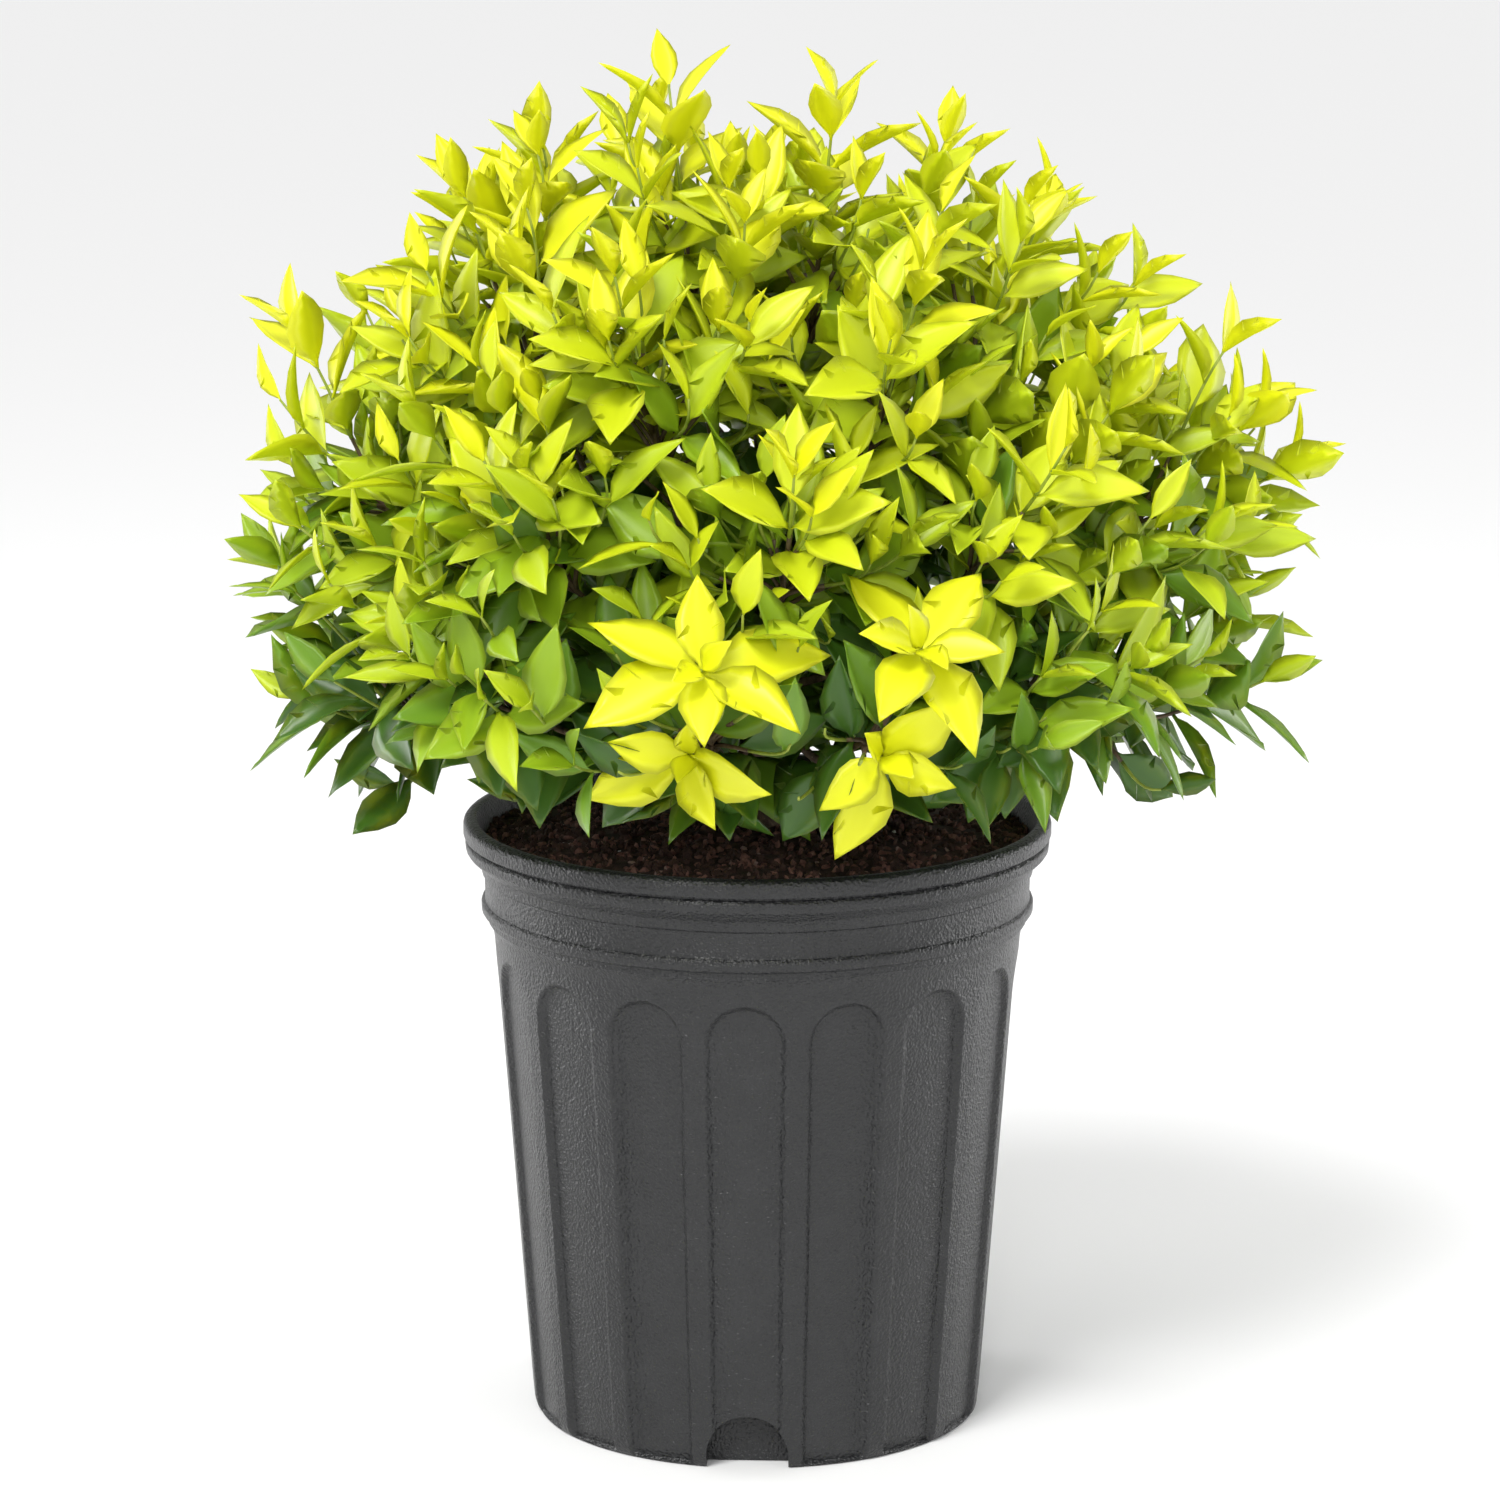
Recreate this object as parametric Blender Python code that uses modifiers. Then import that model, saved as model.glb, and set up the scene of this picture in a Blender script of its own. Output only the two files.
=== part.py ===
"""A golden-leaved Chinese privet growing in a black ribbed nursery pot.

The pot is a turned shell with arched flutes and four drain pockets. The soil fills it.
A short stem forks into leaders, the leaders carry boughs, and each bough or leader ends
in one mass of foliage: a stem with shoots, and opposite pairs of leaves fused to them.

Metres, +Z up. The origin is the middle of the pot's flat underside. The front is -Y.
An azimuth is counted from the front towards +X, an elevation from level upwards.
"""

import math

import bmesh
import bpy
import numpy as np
from mathutils import Matrix, Vector

OBJECT_NAME = "potted_chinese_privet"
CLEAR = 0.0003  # gap between two pieces that touch on the real plant
MERGE = 0.00001  # merge distance for seams and caps

# Pot
POT_HEIGHT = 0.234
POT_RIM_RADIUS = 0.1125
POT_FOOT_RADIUS = 0.0845
POT_WALL = 0.0042
POT_FLOOR = 0.004
POT_STEPS = 48
BODY_TOP_HEIGHT = 0.1875
BODY_TOP_RADIUS = 0.1008
BODY_FOOT_HEIGHT = 0.007
BODY_FOOT_RADIUS = 0.0872

# Flutes
FLUTE_COUNT = 16
FLUTE_PITCH = math.tau / FLUTE_COUNT
FLUTE_TURN = math.radians(-2.6)  # the front flute lies a little left of the middle
FLUTE_TOP_HEIGHT = 0.1825
FLUTE_HALF_WIDTH_TOP = 0.0155
FLUTE_HALF_WIDTH_FOOT = 0.0135
FLUTE_DEPTH = 0.0019
FLUTE_ARC_STEPS = 8

# Drain pockets
POCKET_COUNT = 4
POCKET_HALF_WIDTH = 0.0155
POCKET_HEIGHT = 0.0205
POCKET_DEPTH = 0.012
POCKET_WALL = 0.0022
POCKET_ARC_STEPS = 8

# Soil
SOIL_EDGE_HEIGHT = 0.2262
SOIL_CROWN_HEIGHT = 0.2312

# Trunk, leaders and boughs
FORK = Vector((0.0, 0.0, 0.232))  # the point that all directions are counted from
UP = Vector((0.0, 0.0, 1.0))
TRUNK_FOOT = SOIL_CROWN_HEIGHT + CLEAR
TRUNK_BEND = 0.240  # the trunk stands upright below this height and leans above it
TRUNK_TOP = 0.266
TRUNK_LEAN = Vector((0.003, -0.002, 0.0))
TRUNK_SHARES = (0.0, 0.10, 0.25, 0.55, 1.0)
TRUNK_RADII = (0.0140, 0.0108, 0.0090, 0.0080, 0.0075)
TRUNK_RESOLUTION = 4
LIMB_SHARE = 0.43  # how far along a mass's reach its limb ends
LIMB_POINTS = 6
STRAIGHT = 0.003  # length of a limb's last stretch, which runs square to its flat end
LIMB_SAMPLES = 16
LEADER_RADII = (0.0036, 0.0021)
LEADER_LIFT = 0.1
BOUGH_SHARE = 0.76  # a bough's root against its leader there
BOUGH_TIP_RADIUS = 0.0015
BOUGH_FOLLOW = 0.6

# how far a leader's root is from the trunk's middle, and its height
LEADER_SEATS = {
    "leader_top_left": (0.0036, 0.262),
    "leader_top_right": (0.0036, 0.262),
    "leader_front": (0.0, 0.2430),
    "leader_left": (0.0, 0.2460),
    "leader_right": (0.0, 0.2490),
    "leader_back": (0.0, 0.2440),
}

# how far along its leader a bough starts
BOUGH_SEATS = {
    "shoulder_left": 0.42,
    "shoulder_right": 0.42,
    "front_top_left": 0.26,
    "front_top_right": 0.26,
    "back_top": 0.60,
    "front_left": 0.62,
    "front_right": 0.74,
    "front_low_left": 0.40,
    "front_low_right": 0.52,
    "side_left": 0.34,
    "side_right": 0.34,
    "left_low": 0.24,
    "right_low": 0.24,
    "back_left": 0.62,
    "back_right": 0.62,
    "back_low_left": 0.46,
    "back_low_right": 0.46,
    "back_low": 0.30,
}

# Foliage
STEM_RADII = (0.0015, 0.0009)
SHOOT_RADII = (0.0011, 0.0007)
STEM_POINTS = 5
SHOOT_POINTS = 4
SHOOTS_PER_MASS = 3
SHOOT_LOWEST = 0.06  # share of the stem's length below which no shoot starts
SHOOT_HIGHEST = 0.55
SHOOT_DROP = 0.02  # how much lower a shoot starts for each degree it turns away
LEAF_LENGTH = 0.054
LEAF_WIDTH = 0.0250
LEAF_THICKNESS = 0.0016
LEAF_WIDEST = 0.45  # share of the leaf's length at which it is widest
LEAF_SPREAD = 50.0  # degrees between a leaf and its shoot
TIP_SPREAD = 24.0
TIP_SIZE = 0.8
TIP_SHARE = 0.62  # share of a leaf's length by which the last pair passes its shoot's end
LEAF_TILT = 0.5  # how far the leaves turn their faces up and outwards
LEAF_START = 0.18  # share of the stem's length at which its leaves begin
LEAF_START_SHOOT = 0.42
LEAF_END = 0.985
LEAF_SIZES = (0.9, 1.08)
PAIR_TURN = 0.3  # radians by which a pair may be off its square with the last
NODE_SPACING = 0.021
LEAF_APART = 0.0055  # how far apart the tested places of two leaves of a mass stay
LEAF_MARGIN = 0.0008  # how far a leaf or twig keeps from its space's sides
POT_BERTH = 0.002  # how far leaves keep from the pot and above the soil
SHOOT_LIFT = 0.35
LOWEST_RISE = 0.16  # sine of the lowest elevation of a scattered tip
GOLDEN_ANGLE = math.pi * (3.0 - math.sqrt(5.0))
SCATTER_REACH = (0.84, 0.97)
REACH_FOCUS = 30.0
TIP_APART = 0.992  # cosine: a tip nearer than this to a mass's own stem is left to the stem
UNION_SOLVER = "MANIFOLD"
BRIGHT_ELEVATION = 35  # degrees: masses that rise above it are the bright ones
SEED = 11

# name, azimuth and elevation in degrees, reach from the fork, leader that carries it
MASSES = (
    ("crown_left", -105, 83, 0.302, "leader_top_left"),
    ("crown_right", 90, 84, 0.295, "leader_top_right"),
    ("front_mid", 5, 47, 0.236, "leader_front"),
    ("left_high", -90, 42, 0.262, "leader_left"),
    ("right_high", 91, 40, 0.268, "leader_right"),
    ("back_mid", 180, 46, 0.245, "leader_back"),
    ("shoulder_left", -97, 64, 0.286, "leader_top_left"),
    ("shoulder_right", 98, 65, 0.282, "leader_top_right"),
    ("front_top_left", -30, 65, 0.265, "leader_top_left"),
    ("front_top_right", 35, 65, 0.266, "leader_top_right"),
    ("back_top", 175, 66, 0.275, "leader_back"),
    ("front_left", -40, 46, 0.240, "leader_front"),
    ("front_right", 45, 46, 0.246, "leader_front"),
    ("front_low_left", -9, 27, 0.196, "leader_front"),
    ("front_low_right", 20, 26, 0.204, "leader_front"),
    ("side_left", -50, 27, 0.205, "leader_left"),
    ("side_right", 54, 26, 0.212, "leader_right"),
    ("left_low", -86, 16, 0.200, "leader_left"),
    ("right_low", 88, 16, 0.219, "leader_right"),
    ("back_left", -137, 46, 0.250, "leader_left"),
    ("back_right", 137, 46, 0.252, "leader_right"),
    ("back_low_left", -132, 22, 0.200, "leader_left"),
    ("back_low_right", 132, 22, 0.204, "leader_right"),
    ("back_low", 180, 22, 0.192, "leader_back"),
)

# tips that stand out of the crown: azimuth, elevation, reach
TIPS = (
    (-84, 7, 0.156),
    (-88, 38, 0.240),
    (-92, 47, 0.272),
    (-11, 16, 0.133),
    (20, 15, 0.138),
    (82, 6, 0.173),
    (-46, 13, 0.134),
    (44, 11, 0.141),
    (94, 34, 0.262),
    (88, 46, 0.270),
    (105, 74, 0.284),
    (-95, 72, 0.285),
)

BARK = (0.115, 0.066, 0.036)
LEMON = (0.62, 0.64, 0.02)
LIME = (0.36, 0.50, 0.03)
PLASTIC = (0.032, 0.033, 0.035)
EARTH = (0.060, 0.026, 0.016)


def clear_scene():
    for old in list(bpy.data.objects):
        bpy.data.objects.remove(old, do_unlink=True)


def make_collection(name):
    collection = bpy.data.collections.new(name)
    bpy.context.scene.collection.children.link(collection)
    return collection


def make_material(name, colour, roughness):
    material = bpy.data.materials.new(name)
    material.use_nodes = True
    shader = material.node_tree.nodes["Principled BSDF"]
    shader.inputs["Base Color"].default_value = (*colour, 1.0)
    shader.inputs["Roughness"].default_value = roughness
    shader.inputs["Metallic"].default_value = 0.0
    return material


def object_from_mesh(name, mesh, collection, material=None):
    piece = bpy.data.objects.new(name, mesh)
    collection.objects.link(piece)
    if material is not None:
        mesh.materials.clear()
        mesh.materials.append(material)
    return piece


def hide_cutter(cutter):
    cutter.hide_render = True
    cutter.display_type = "WIRE"


def evaluated_mesh(piece):
    """The object's evaluated shape as a mesh of its own, in place."""
    bpy.context.view_layer.update()
    seen = piece.evaluated_get(bpy.context.evaluated_depsgraph_get())
    mesh = bpy.data.meshes.new_from_object(seen)
    mesh.transform(piece.matrix_world)
    return mesh


def merge_caps(mesh):
    """Merges a curve's caps with its sides, and turns its faces outwards."""
    shape = bmesh.new()
    shape.from_mesh(mesh)
    bmesh.ops.remove_doubles(shape, verts=shape.verts, dist=MERGE)
    bmesh.ops.recalc_face_normals(shape, faces=shape.faces)
    shape.to_mesh(mesh)
    shape.free()
    return mesh


def join_by_boolean(piece, operation, collection):
    modifier = piece.modifiers.new(operation.lower(), "BOOLEAN")
    modifier.operation = operation
    modifier.operand_type = "COLLECTION"
    modifier.collection = collection
    modifier.solver = "EXACT"
    return modifier


def remove_collection(collection):
    for old in list(collection.objects):
        bpy.data.objects.remove(old, do_unlink=True)
    bpy.data.collections.remove(collection)


# Turned pieces


def turned(name, profile, collection, material):
    """A solid turned round Z from (radius, height) points that run down its outer side."""
    mesh = bpy.data.meshes.new(name)
    points = [(radius, 0.0, height) for radius, height in profile]
    edges = [(i, i + 1) for i in range(len(points) - 1)]
    mesh.from_pydata(points, edges, [])
    piece = object_from_mesh(name, mesh, collection, material)
    screw = piece.modifiers.new("turn", "SCREW")
    screw.axis = "Z"
    screw.angle = math.tau
    screw.steps = POT_STEPS
    screw.render_steps = POT_STEPS
    screw.use_merge_vertices = True
    screw.merge_threshold = MERGE
    screw.use_smooth_shade = False
    piece.rotation_euler.z = FLUTE_TURN + math.pi / POT_STEPS
    return piece


def body_radius(height):
    """Outer radius of the pot's tapering body at a height."""
    share = (height - BODY_FOOT_HEIGHT) / (BODY_TOP_HEIGHT - BODY_FOOT_HEIGHT)
    return BODY_FOOT_RADIUS + share * (BODY_TOP_RADIUS - BODY_FOOT_RADIUS)


def pot_outer_profile():
    """The outside of the pot from the lip down: lip, roll, collar, ridge and body."""
    rim = POT_RIM_RADIUS
    top = POT_HEIGHT
    return [
        (rim - 0.0022, top),
        (rim, top - 0.0025),
        (rim, top - 0.0066),
        (rim - 0.0020, top - 0.0074),
        (rim - 0.0008, top - 0.0090),
        (rim - 0.0014, top - 0.0126),
        (rim - 0.0064, top - 0.0170),
        (rim - 0.0072, top - 0.0212),
        (rim - 0.0080, top - 0.0235),
        (rim - 0.0082, top - 0.0312),
        (rim - 0.0068, top - 0.0325),
        (rim - 0.0068, top - 0.0360),
        (rim - 0.0090, top - 0.0374),
        (rim - 0.0092, top - 0.0392),
        (rim - 0.0112, top - 0.0425),
        (BODY_TOP_RADIUS, BODY_TOP_HEIGHT),
        (BODY_FOOT_RADIUS, BODY_FOOT_HEIGHT),
        (BODY_FOOT_RADIUS - 0.0007, 0.0028),
        (POT_FOOT_RADIUS, 0.0),
        (0.0, 0.0),
    ]


def inner_radius(height):
    """Inner radius of the pot's wall, which follows the body and widens at the collar."""
    if height <= BODY_TOP_HEIGHT:
        return body_radius(height) - POT_WALL
    share = (height - BODY_TOP_HEIGHT) / (POT_HEIGHT - BODY_TOP_HEIGHT)
    start = BODY_TOP_RADIUS - POT_WALL
    return start + share * (POT_RIM_RADIUS - 0.0048 - start)


def pot_inner_profile():
    """The inside of the pot from the middle of its floor up to the lip."""
    heights = (POT_FLOOR, BODY_TOP_HEIGHT, POT_HEIGHT)
    return [(0.0, POT_FLOOR)] + [(inner_radius(height), height) for height in heights]


def arch_outline(half_width_top, half_width_foot, foot, top, steps):
    """Points of an upright arch: two straight sides and a half-round top."""
    spring = top - half_width_top
    points = [(half_width_foot, foot)]
    for step in range(steps + 1):
        angle = math.pi * step / steps
        points.append((half_width_top * math.cos(angle), spring + half_width_top * math.sin(angle)))
    points.append((-half_width_foot, foot))
    return points


def arch_block(name, outline, inner, outer, lean, turn, collection):
    """An arch outline made a block from one radius to another, turned to its place."""
    curve = bpy.data.curves.new(name, "CURVE")
    curve.dimensions = "2D"
    curve.fill_mode = "BOTH"
    curve.extrude = (outer - inner) / 2
    spline = curve.splines.new("POLY")
    spline.points.add(len(outline) - 1)
    for point, (across, height) in zip(spline.points, outline):
        point.co = (across, height, 0.0, 1.0)
    spline.use_cyclic_u = True
    guide = bpy.data.objects.new(name, curve)
    collection.objects.link(guide)
    upright = Matrix.Rotation(math.pi / 2, 4, "X")
    outward = Matrix.Translation((0.0, -(inner + outer) / 2, 0.0))
    leaning = Matrix.Rotation(lean, 4, "X")
    guide.matrix_world = Matrix.Rotation(turn, 4, "Z") @ outward @ leaning @ upright
    mesh = merge_caps(evaluated_mesh(guide))
    bpy.data.objects.remove(guide, do_unlink=True)
    block = object_from_mesh(name, mesh, collection)
    hide_cutter(block)
    return block


def flute_cutters(collection):
    """Sixteen arch blocks, each sunk a little way into the leaning wall."""
    run = BODY_TOP_HEIGHT - BODY_FOOT_HEIGHT
    lean = math.atan2(BODY_TOP_RADIUS - BODY_FOOT_RADIUS, run)
    facet = math.cos(math.pi / POT_STEPS)
    bottom = body_radius(0.0) * facet - FLUTE_DEPTH
    foot = -0.01
    outline = arch_outline(
        FLUTE_HALF_WIDTH_TOP, FLUTE_HALF_WIDTH_FOOT, foot, FLUTE_TOP_HEIGHT, FLUTE_ARC_STEPS
    )
    for number in range(FLUTE_COUNT):
        turn = FLUTE_TURN + number * FLUTE_PITCH
        arch_block(f"flute_{number + 1}", outline, bottom, bottom + 0.012, lean, turn, collection)


def pocket_blocks(collection, grow, name):
    """The drain pockets, or with grow the plastic that closes them off from the soil."""
    outline = arch_outline(
        POCKET_HALF_WIDTH + grow,
        POCKET_HALF_WIDTH + grow,
        -0.01 if grow == 0 else POT_FLOOR / 2,
        POCKET_HEIGHT + grow,
        POCKET_ARC_STEPS,
    )
    inner = BODY_FOOT_RADIUS - POCKET_DEPTH - grow
    outer = BODY_FOOT_RADIUS + 0.01 if grow == 0 else BODY_FOOT_RADIUS - POT_WALL / 2
    for number in range(POCKET_COUNT):
        turn = FLUTE_TURN + number * math.tau / POCKET_COUNT
        arch_block(f"{name}_{number + 1}", outline, inner, outer, 0.0, turn, collection)


def build_pot(parts, cutters):
    profile = pot_inner_profile() + pot_outer_profile()
    pot = turned("pot", profile, parts, make_material("pot plastic", PLASTIC, 0.5))
    housings = bpy.data.collections.new("pocket housings")
    hollows = bpy.data.collections.new("flutes and pockets")
    cutters.children.link(housings)
    cutters.children.link(hollows)
    pocket_blocks(housings, POCKET_WALL, "housing")
    pocket_blocks(hollows, 0.0, "pocket")
    flute_cutters(hollows)
    join_by_boolean(pot, "UNION", housings)
    join_by_boolean(pot, "DIFFERENCE", hollows)
    return pot


def build_soil(parts, cutters):
    """The potting mix: it fills the pot and rises a little towards the stem."""
    heights = (SOIL_EDGE_HEIGHT, BODY_TOP_HEIGHT, POT_FLOOR + CLEAR)
    wall = [(inner_radius(height) - CLEAR, height) for height in heights]
    crown = [(0.0, SOIL_CROWN_HEIGHT), (0.016, SOIL_CROWN_HEIGHT)]
    slope = [(0.060, (SOIL_CROWN_HEIGHT * 2 + SOIL_EDGE_HEIGHT) / 3)]
    profile = crown + slope + wall + [(0.0, POT_FLOOR + CLEAR)]
    soil = turned("soil", profile, parts, make_material("potting mix", EARTH, 0.9))
    sockets = bpy.data.collections.new("sockets in the soil")
    cutters.children.link(sockets)
    pocket_blocks(sockets, POCKET_WALL + CLEAR, "socket")
    join_by_boolean(soil, "DIFFERENCE", sockets)
    return soil


# Curves that limbs and shoots follow


def direction(azimuth, elevation):
    """Unit vector for an azimuth and an elevation in degrees."""
    turn, rise = math.radians(azimuth), math.radians(elevation)
    level = math.cos(rise)
    return Vector((math.sin(turn) * level, -math.cos(turn) * level, math.sin(rise)))


class Path:
    """A smooth curve from one point to another with a given heading at each end."""

    def __init__(self, start, start_heading, end, end_heading, pull=0.36):
        length = (end - start).length
        self.start = start
        self.end = end
        self.end_heading = end_heading.normalized()
        self.out = start + start_heading.normalized() * length * pull
        self.into = end - end_heading.normalized() * length * pull
        self.length = length

    def point(self, share):
        rest = 1.0 - share
        return (
            self.start * rest**3
            + self.out * 3 * rest**2 * share
            + self.into * 3 * rest * share**2
            + self.end * share**3
        )

    def heading(self, share):
        step = 0.01
        low, high = max(share - step, 0.0), min(share + step, 1.0)
        return (self.point(high) - self.point(low)).normalized()

    def points(self, count, start=0.0, end=1.0):
        return [self.point(start + (end - start) * i / (count - 1)) for i in range(count)]


def rod(name, points, radii, collection, resolution=2, profile=None):
    """A tapering limb along points, closed at both ends, as a mesh object."""
    curve = bpy.data.curves.new(name, "CURVE")
    curve.dimensions = "3D"
    curve.use_fill_caps = True
    curve.twist_mode = "MINIMUM"
    if profile is None:
        curve.bevel_depth = 1.0
        curve.bevel_resolution = resolution
    else:
        curve.bevel_mode = "OBJECT"
        curve.bevel_object = profile
    spline = curve.splines.new("POLY")
    spline.points.add(len(points) - 1)
    for number, (point, radius) in enumerate(zip(points, radii)):
        spline.points[number].co = (*point, 1.0)
        spline.points[number].radius = radius
    guide = bpy.data.objects.new(name, curve)
    collection.objects.link(guide)
    mesh = merge_caps(evaluated_mesh(guide))
    bpy.data.objects.remove(guide, do_unlink=True)
    bpy.data.curves.remove(curve)
    return object_from_mesh(name, mesh, collection)


def triangle_profile(collection):
    """A three-sided outline of unit radius, which the twigs are drawn with."""
    curve = bpy.data.curves.new("twig outline", "CURVE")
    spline = curve.splines.new("POLY")
    spline.points.add(2)
    for number in range(3):
        angle = math.tau * number / 3
        spline.points[number].co = (math.cos(angle), math.sin(angle), 0.0, 1.0)
    spline.use_cyclic_u = True
    outline = bpy.data.objects.new("twig outline", curve)
    collection.objects.link(outline)
    return outline


def tapered(radii, count):
    first, last = radii
    return [first + (last - first) * i / (count - 1) for i in range(count)]


# Trunk, leaders and boughs


class Limb:
    """A limb's path and radii, from which it is drawn and by which leaves keep clear."""

    def __init__(self, name, path, radii, parent):
        self.name = name
        self.path = path
        self.radii = radii
        self.parent = parent

    def radius(self, share):
        first, last = self.radii
        return first + (last - first) * share

    def samples(self):
        for step in range(LIMB_SAMPLES + 1):
            share = step / LIMB_SAMPLES
            yield self.path.point(share), self.radius(share)


def trunk_middle(height):
    """The middle of the trunk at a height: upright at the foot, then leaning."""
    share = max(0.0, (height - TRUNK_BEND) / (TRUNK_TOP - TRUNK_BEND))
    return Vector((TRUNK_LEAN.x * share, TRUNK_LEAN.y * share, height))


def trunk_points():
    heights = [TRUNK_FOOT + (TRUNK_TOP - TRUNK_FOOT) * share for share in TRUNK_SHARES]
    return [trunk_middle(height) for height in heights]


def plan_limbs():
    """Leaders from the trunk and boughs from the leaders, one limb for each mass."""
    limbs = {}
    for name, azimuth, elevation, reach, leader in MASSES:
        aim = direction(azimuth, elevation)
        end = FORK + aim * reach * LIMB_SHARE
        if leader not in limbs:
            offset, height = LEADER_SEATS[leader]
            base = trunk_middle(height) + direction(azimuth, 0) * offset
            heading = aim + UP * LEADER_LIFT
            limbs[leader] = Limb(leader, Path(base, heading, end, aim), LEADER_RADII, "trunk")
            continue
        carrier = limbs[leader]
        share = BOUGH_SEATS[name]
        base = carrier.path.point(share)
        heading = carrier.path.heading(share) * BOUGH_FOLLOW + aim
        radii = (carrier.radius(share) * BOUGH_SHARE, BOUGH_TIP_RADIUS)
        limbs[name] = Limb("bough_" + name, Path(base, heading, end, aim), radii, leader)
    return limbs


def limb_of(limbs, name, leader):
    """The bough that ends in a mass, or the leader where it has none."""
    return limbs.get(name, limbs[leader])


def build_trunk(parts, cutters, bark):
    points = trunk_points()
    trunk = rod("trunk", points, TRUNK_RADII, parts, resolution=TRUNK_RESOLUTION)
    trunk.data.materials.append(bark)
    grown = [radius + CLEAR for radius in TRUNK_RADII]
    points[-1] = points[-1] + UP * CLEAR
    hide_cutter(rod("trunk_clearance", points, grown, cutters, resolution=TRUNK_RESOLUTION))


def build_limb(limb, parts, cutters, bark):
    """One tapering limb, its root hollowed to sit round its carrier."""
    points = limb.path.points(LIMB_POINTS)
    radii = tapered(limb.radii, LIMB_POINTS)
    points.insert(-1, points[-1] - limb.path.end_heading * STRAIGHT)
    radii.insert(-1, radii[-1])
    piece = rod(limb.name, points, radii, parts)
    piece.data.materials.append(bark)
    seat = piece.modifiers.new("seat", "BOOLEAN")
    seat.operation = "DIFFERENCE"
    seat.solver = "EXACT"
    seat.object = bpy.data.objects[limb.parent + "_clearance"]
    if limb.parent == "trunk":
        grown = [radius + CLEAR for radius in radii]
        hide_cutter(rod(limb.name + "_clearance", points, grown, cutters))


# Foliage


class Mass:
    """A mass of foliage: where it starts and ends, and the space that it keeps to."""

    def __init__(self, name, azimuth, elevation, reach, limb):
        self.name = name
        self.aim = direction(azimuth, elevation)
        self.reach = reach
        self.limb = limb
        self.elevation = elevation
        self.start = limb.path.end + self.aim * CLEAR
        self.sides = []

    def find_sides(self, masses):
        """Planes through the fork that part this mass's space from the others'."""
        for other in masses:
            if other is not self:
                self.sides.append((self.aim - other.aim).normalized())

    def holds(self, point, margin=0.0):
        away = point - FORK
        return all(away.dot(side) > margin for side in self.sides)


def lift_of(aim):
    """How much a shoot turns upwards at its end, which is most on the sloping sides."""
    return SHOOT_LIFT * math.sin(2 * math.asin(min(1.0, max(0.0, aim.z))))


def reach_towards(aim, masses):
    """The crown's reach in any direction, blended from the masses near it."""
    weights = [math.exp(REACH_FOCUS * (aim.dot(mass.aim) - 1.0)) for mass in masses]
    total = sum(weight * mass.reach for weight, mass in zip(weights, masses))
    return total / sum(weights)


def shoot_tips(masses, rng):
    """Named tips and evenly scattered ones, each given to the mass whose space it is in."""
    tips = [(direction(azimuth, elevation), reach) for azimuth, elevation, reach in TIPS]
    count = SHOOTS_PER_MASS * len(masses)
    for number in range(count):
        rise = LOWEST_RISE + (1.0 - LOWEST_RISE) * (number + 0.5) / count
        turn = number * GOLDEN_ANGLE
        level = math.sqrt(1.0 - rise * rise)
        aim = Vector((math.sin(turn) * level, -math.cos(turn) * level, rise))
        reach = reach_towards(aim, masses) * rng.uniform(*SCATTER_REACH)
        tips.append((aim, reach))
    shared = {mass.name: [] for mass in masses}
    for aim, reach in tips:
        nearest = max(masses, key=lambda mass: mass.aim.dot(aim))
        if nearest.aim.dot(aim) < TIP_APART:
            shared[nearest.name].append((aim, reach))
    return shared


def leaf_mesh(name):
    """A leaf of eight faces, root at the origin, blade along Y and upper side to +Z."""
    shape = bmesh.new()
    bmesh.ops.create_uvsphere(shape, u_segments=4, v_segments=2, radius=1.0)
    turn = Matrix.Rotation(-math.pi / 2, 3, "X")
    for corner in shape.verts:
        corner.co = turn @ corner.co
        along = corner.co.y
        if abs(along) < 0.5:
            corner.co.x *= LEAF_WIDTH / 2
            corner.co.z *= LEAF_THICKNESS / 2
            corner.co.y = LEAF_LENGTH * LEAF_WIDEST
        else:
            corner.co = (0.0, LEAF_LENGTH if along > 0 else 0.0, 0.0)
    bmesh.ops.recalc_face_normals(shape, faces=shape.faces)
    mesh = bpy.data.meshes.new(name)
    shape.to_mesh(mesh)
    shape.free()
    return mesh


def leaf_frame(root, along, upper, size):
    """The matrix that puts a leaf at its root, along a heading and with its face up."""
    across = along.cross(upper).normalized()
    facing = across.cross(along).normalized()
    frame = Matrix((across, along, facing)).transposed().to_4x4()
    return Matrix.Translation(root) @ frame @ Matrix.Scale(size, 4)


def leaf_points():
    """Places on a leaf that are tested when it is kept clear of other things."""
    half = LEAF_WIDTH / 2
    places = []
    for share in (0.3, LEAF_WIDEST, 0.7, 1.0):
        spread = half * min(share / LEAF_WIDEST, (1.0 - share) / (1.0 - LEAF_WIDEST))
        places.extend(Vector((side * spread, share * LEAF_LENGTH, 0.0)) for side in (-1, 0, 1))
    return places


class Keeper:
    """Says whether a point is clear of the limbs, the soil and the pot."""

    def __init__(self, limbs):
        self.rods = [sample for limb in limbs.values() for sample in limb.samples()]
        for share, radius in zip(TRUNK_SHARES, TRUNK_RADII):
            height = TRUNK_FOOT + (TRUNK_TOP - TRUNK_FOOT) * share
            self.rods.append((trunk_middle(height), radius))

    def clear(self, point, margin):
        if math.hypot(point.x, point.y) < POT_RIM_RADIUS + POT_BERTH:
            if point.z < POT_HEIGHT + POT_BERTH:
                return False
        return all((point - centre).length > radius + margin for centre, radius in self.rods)


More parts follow.
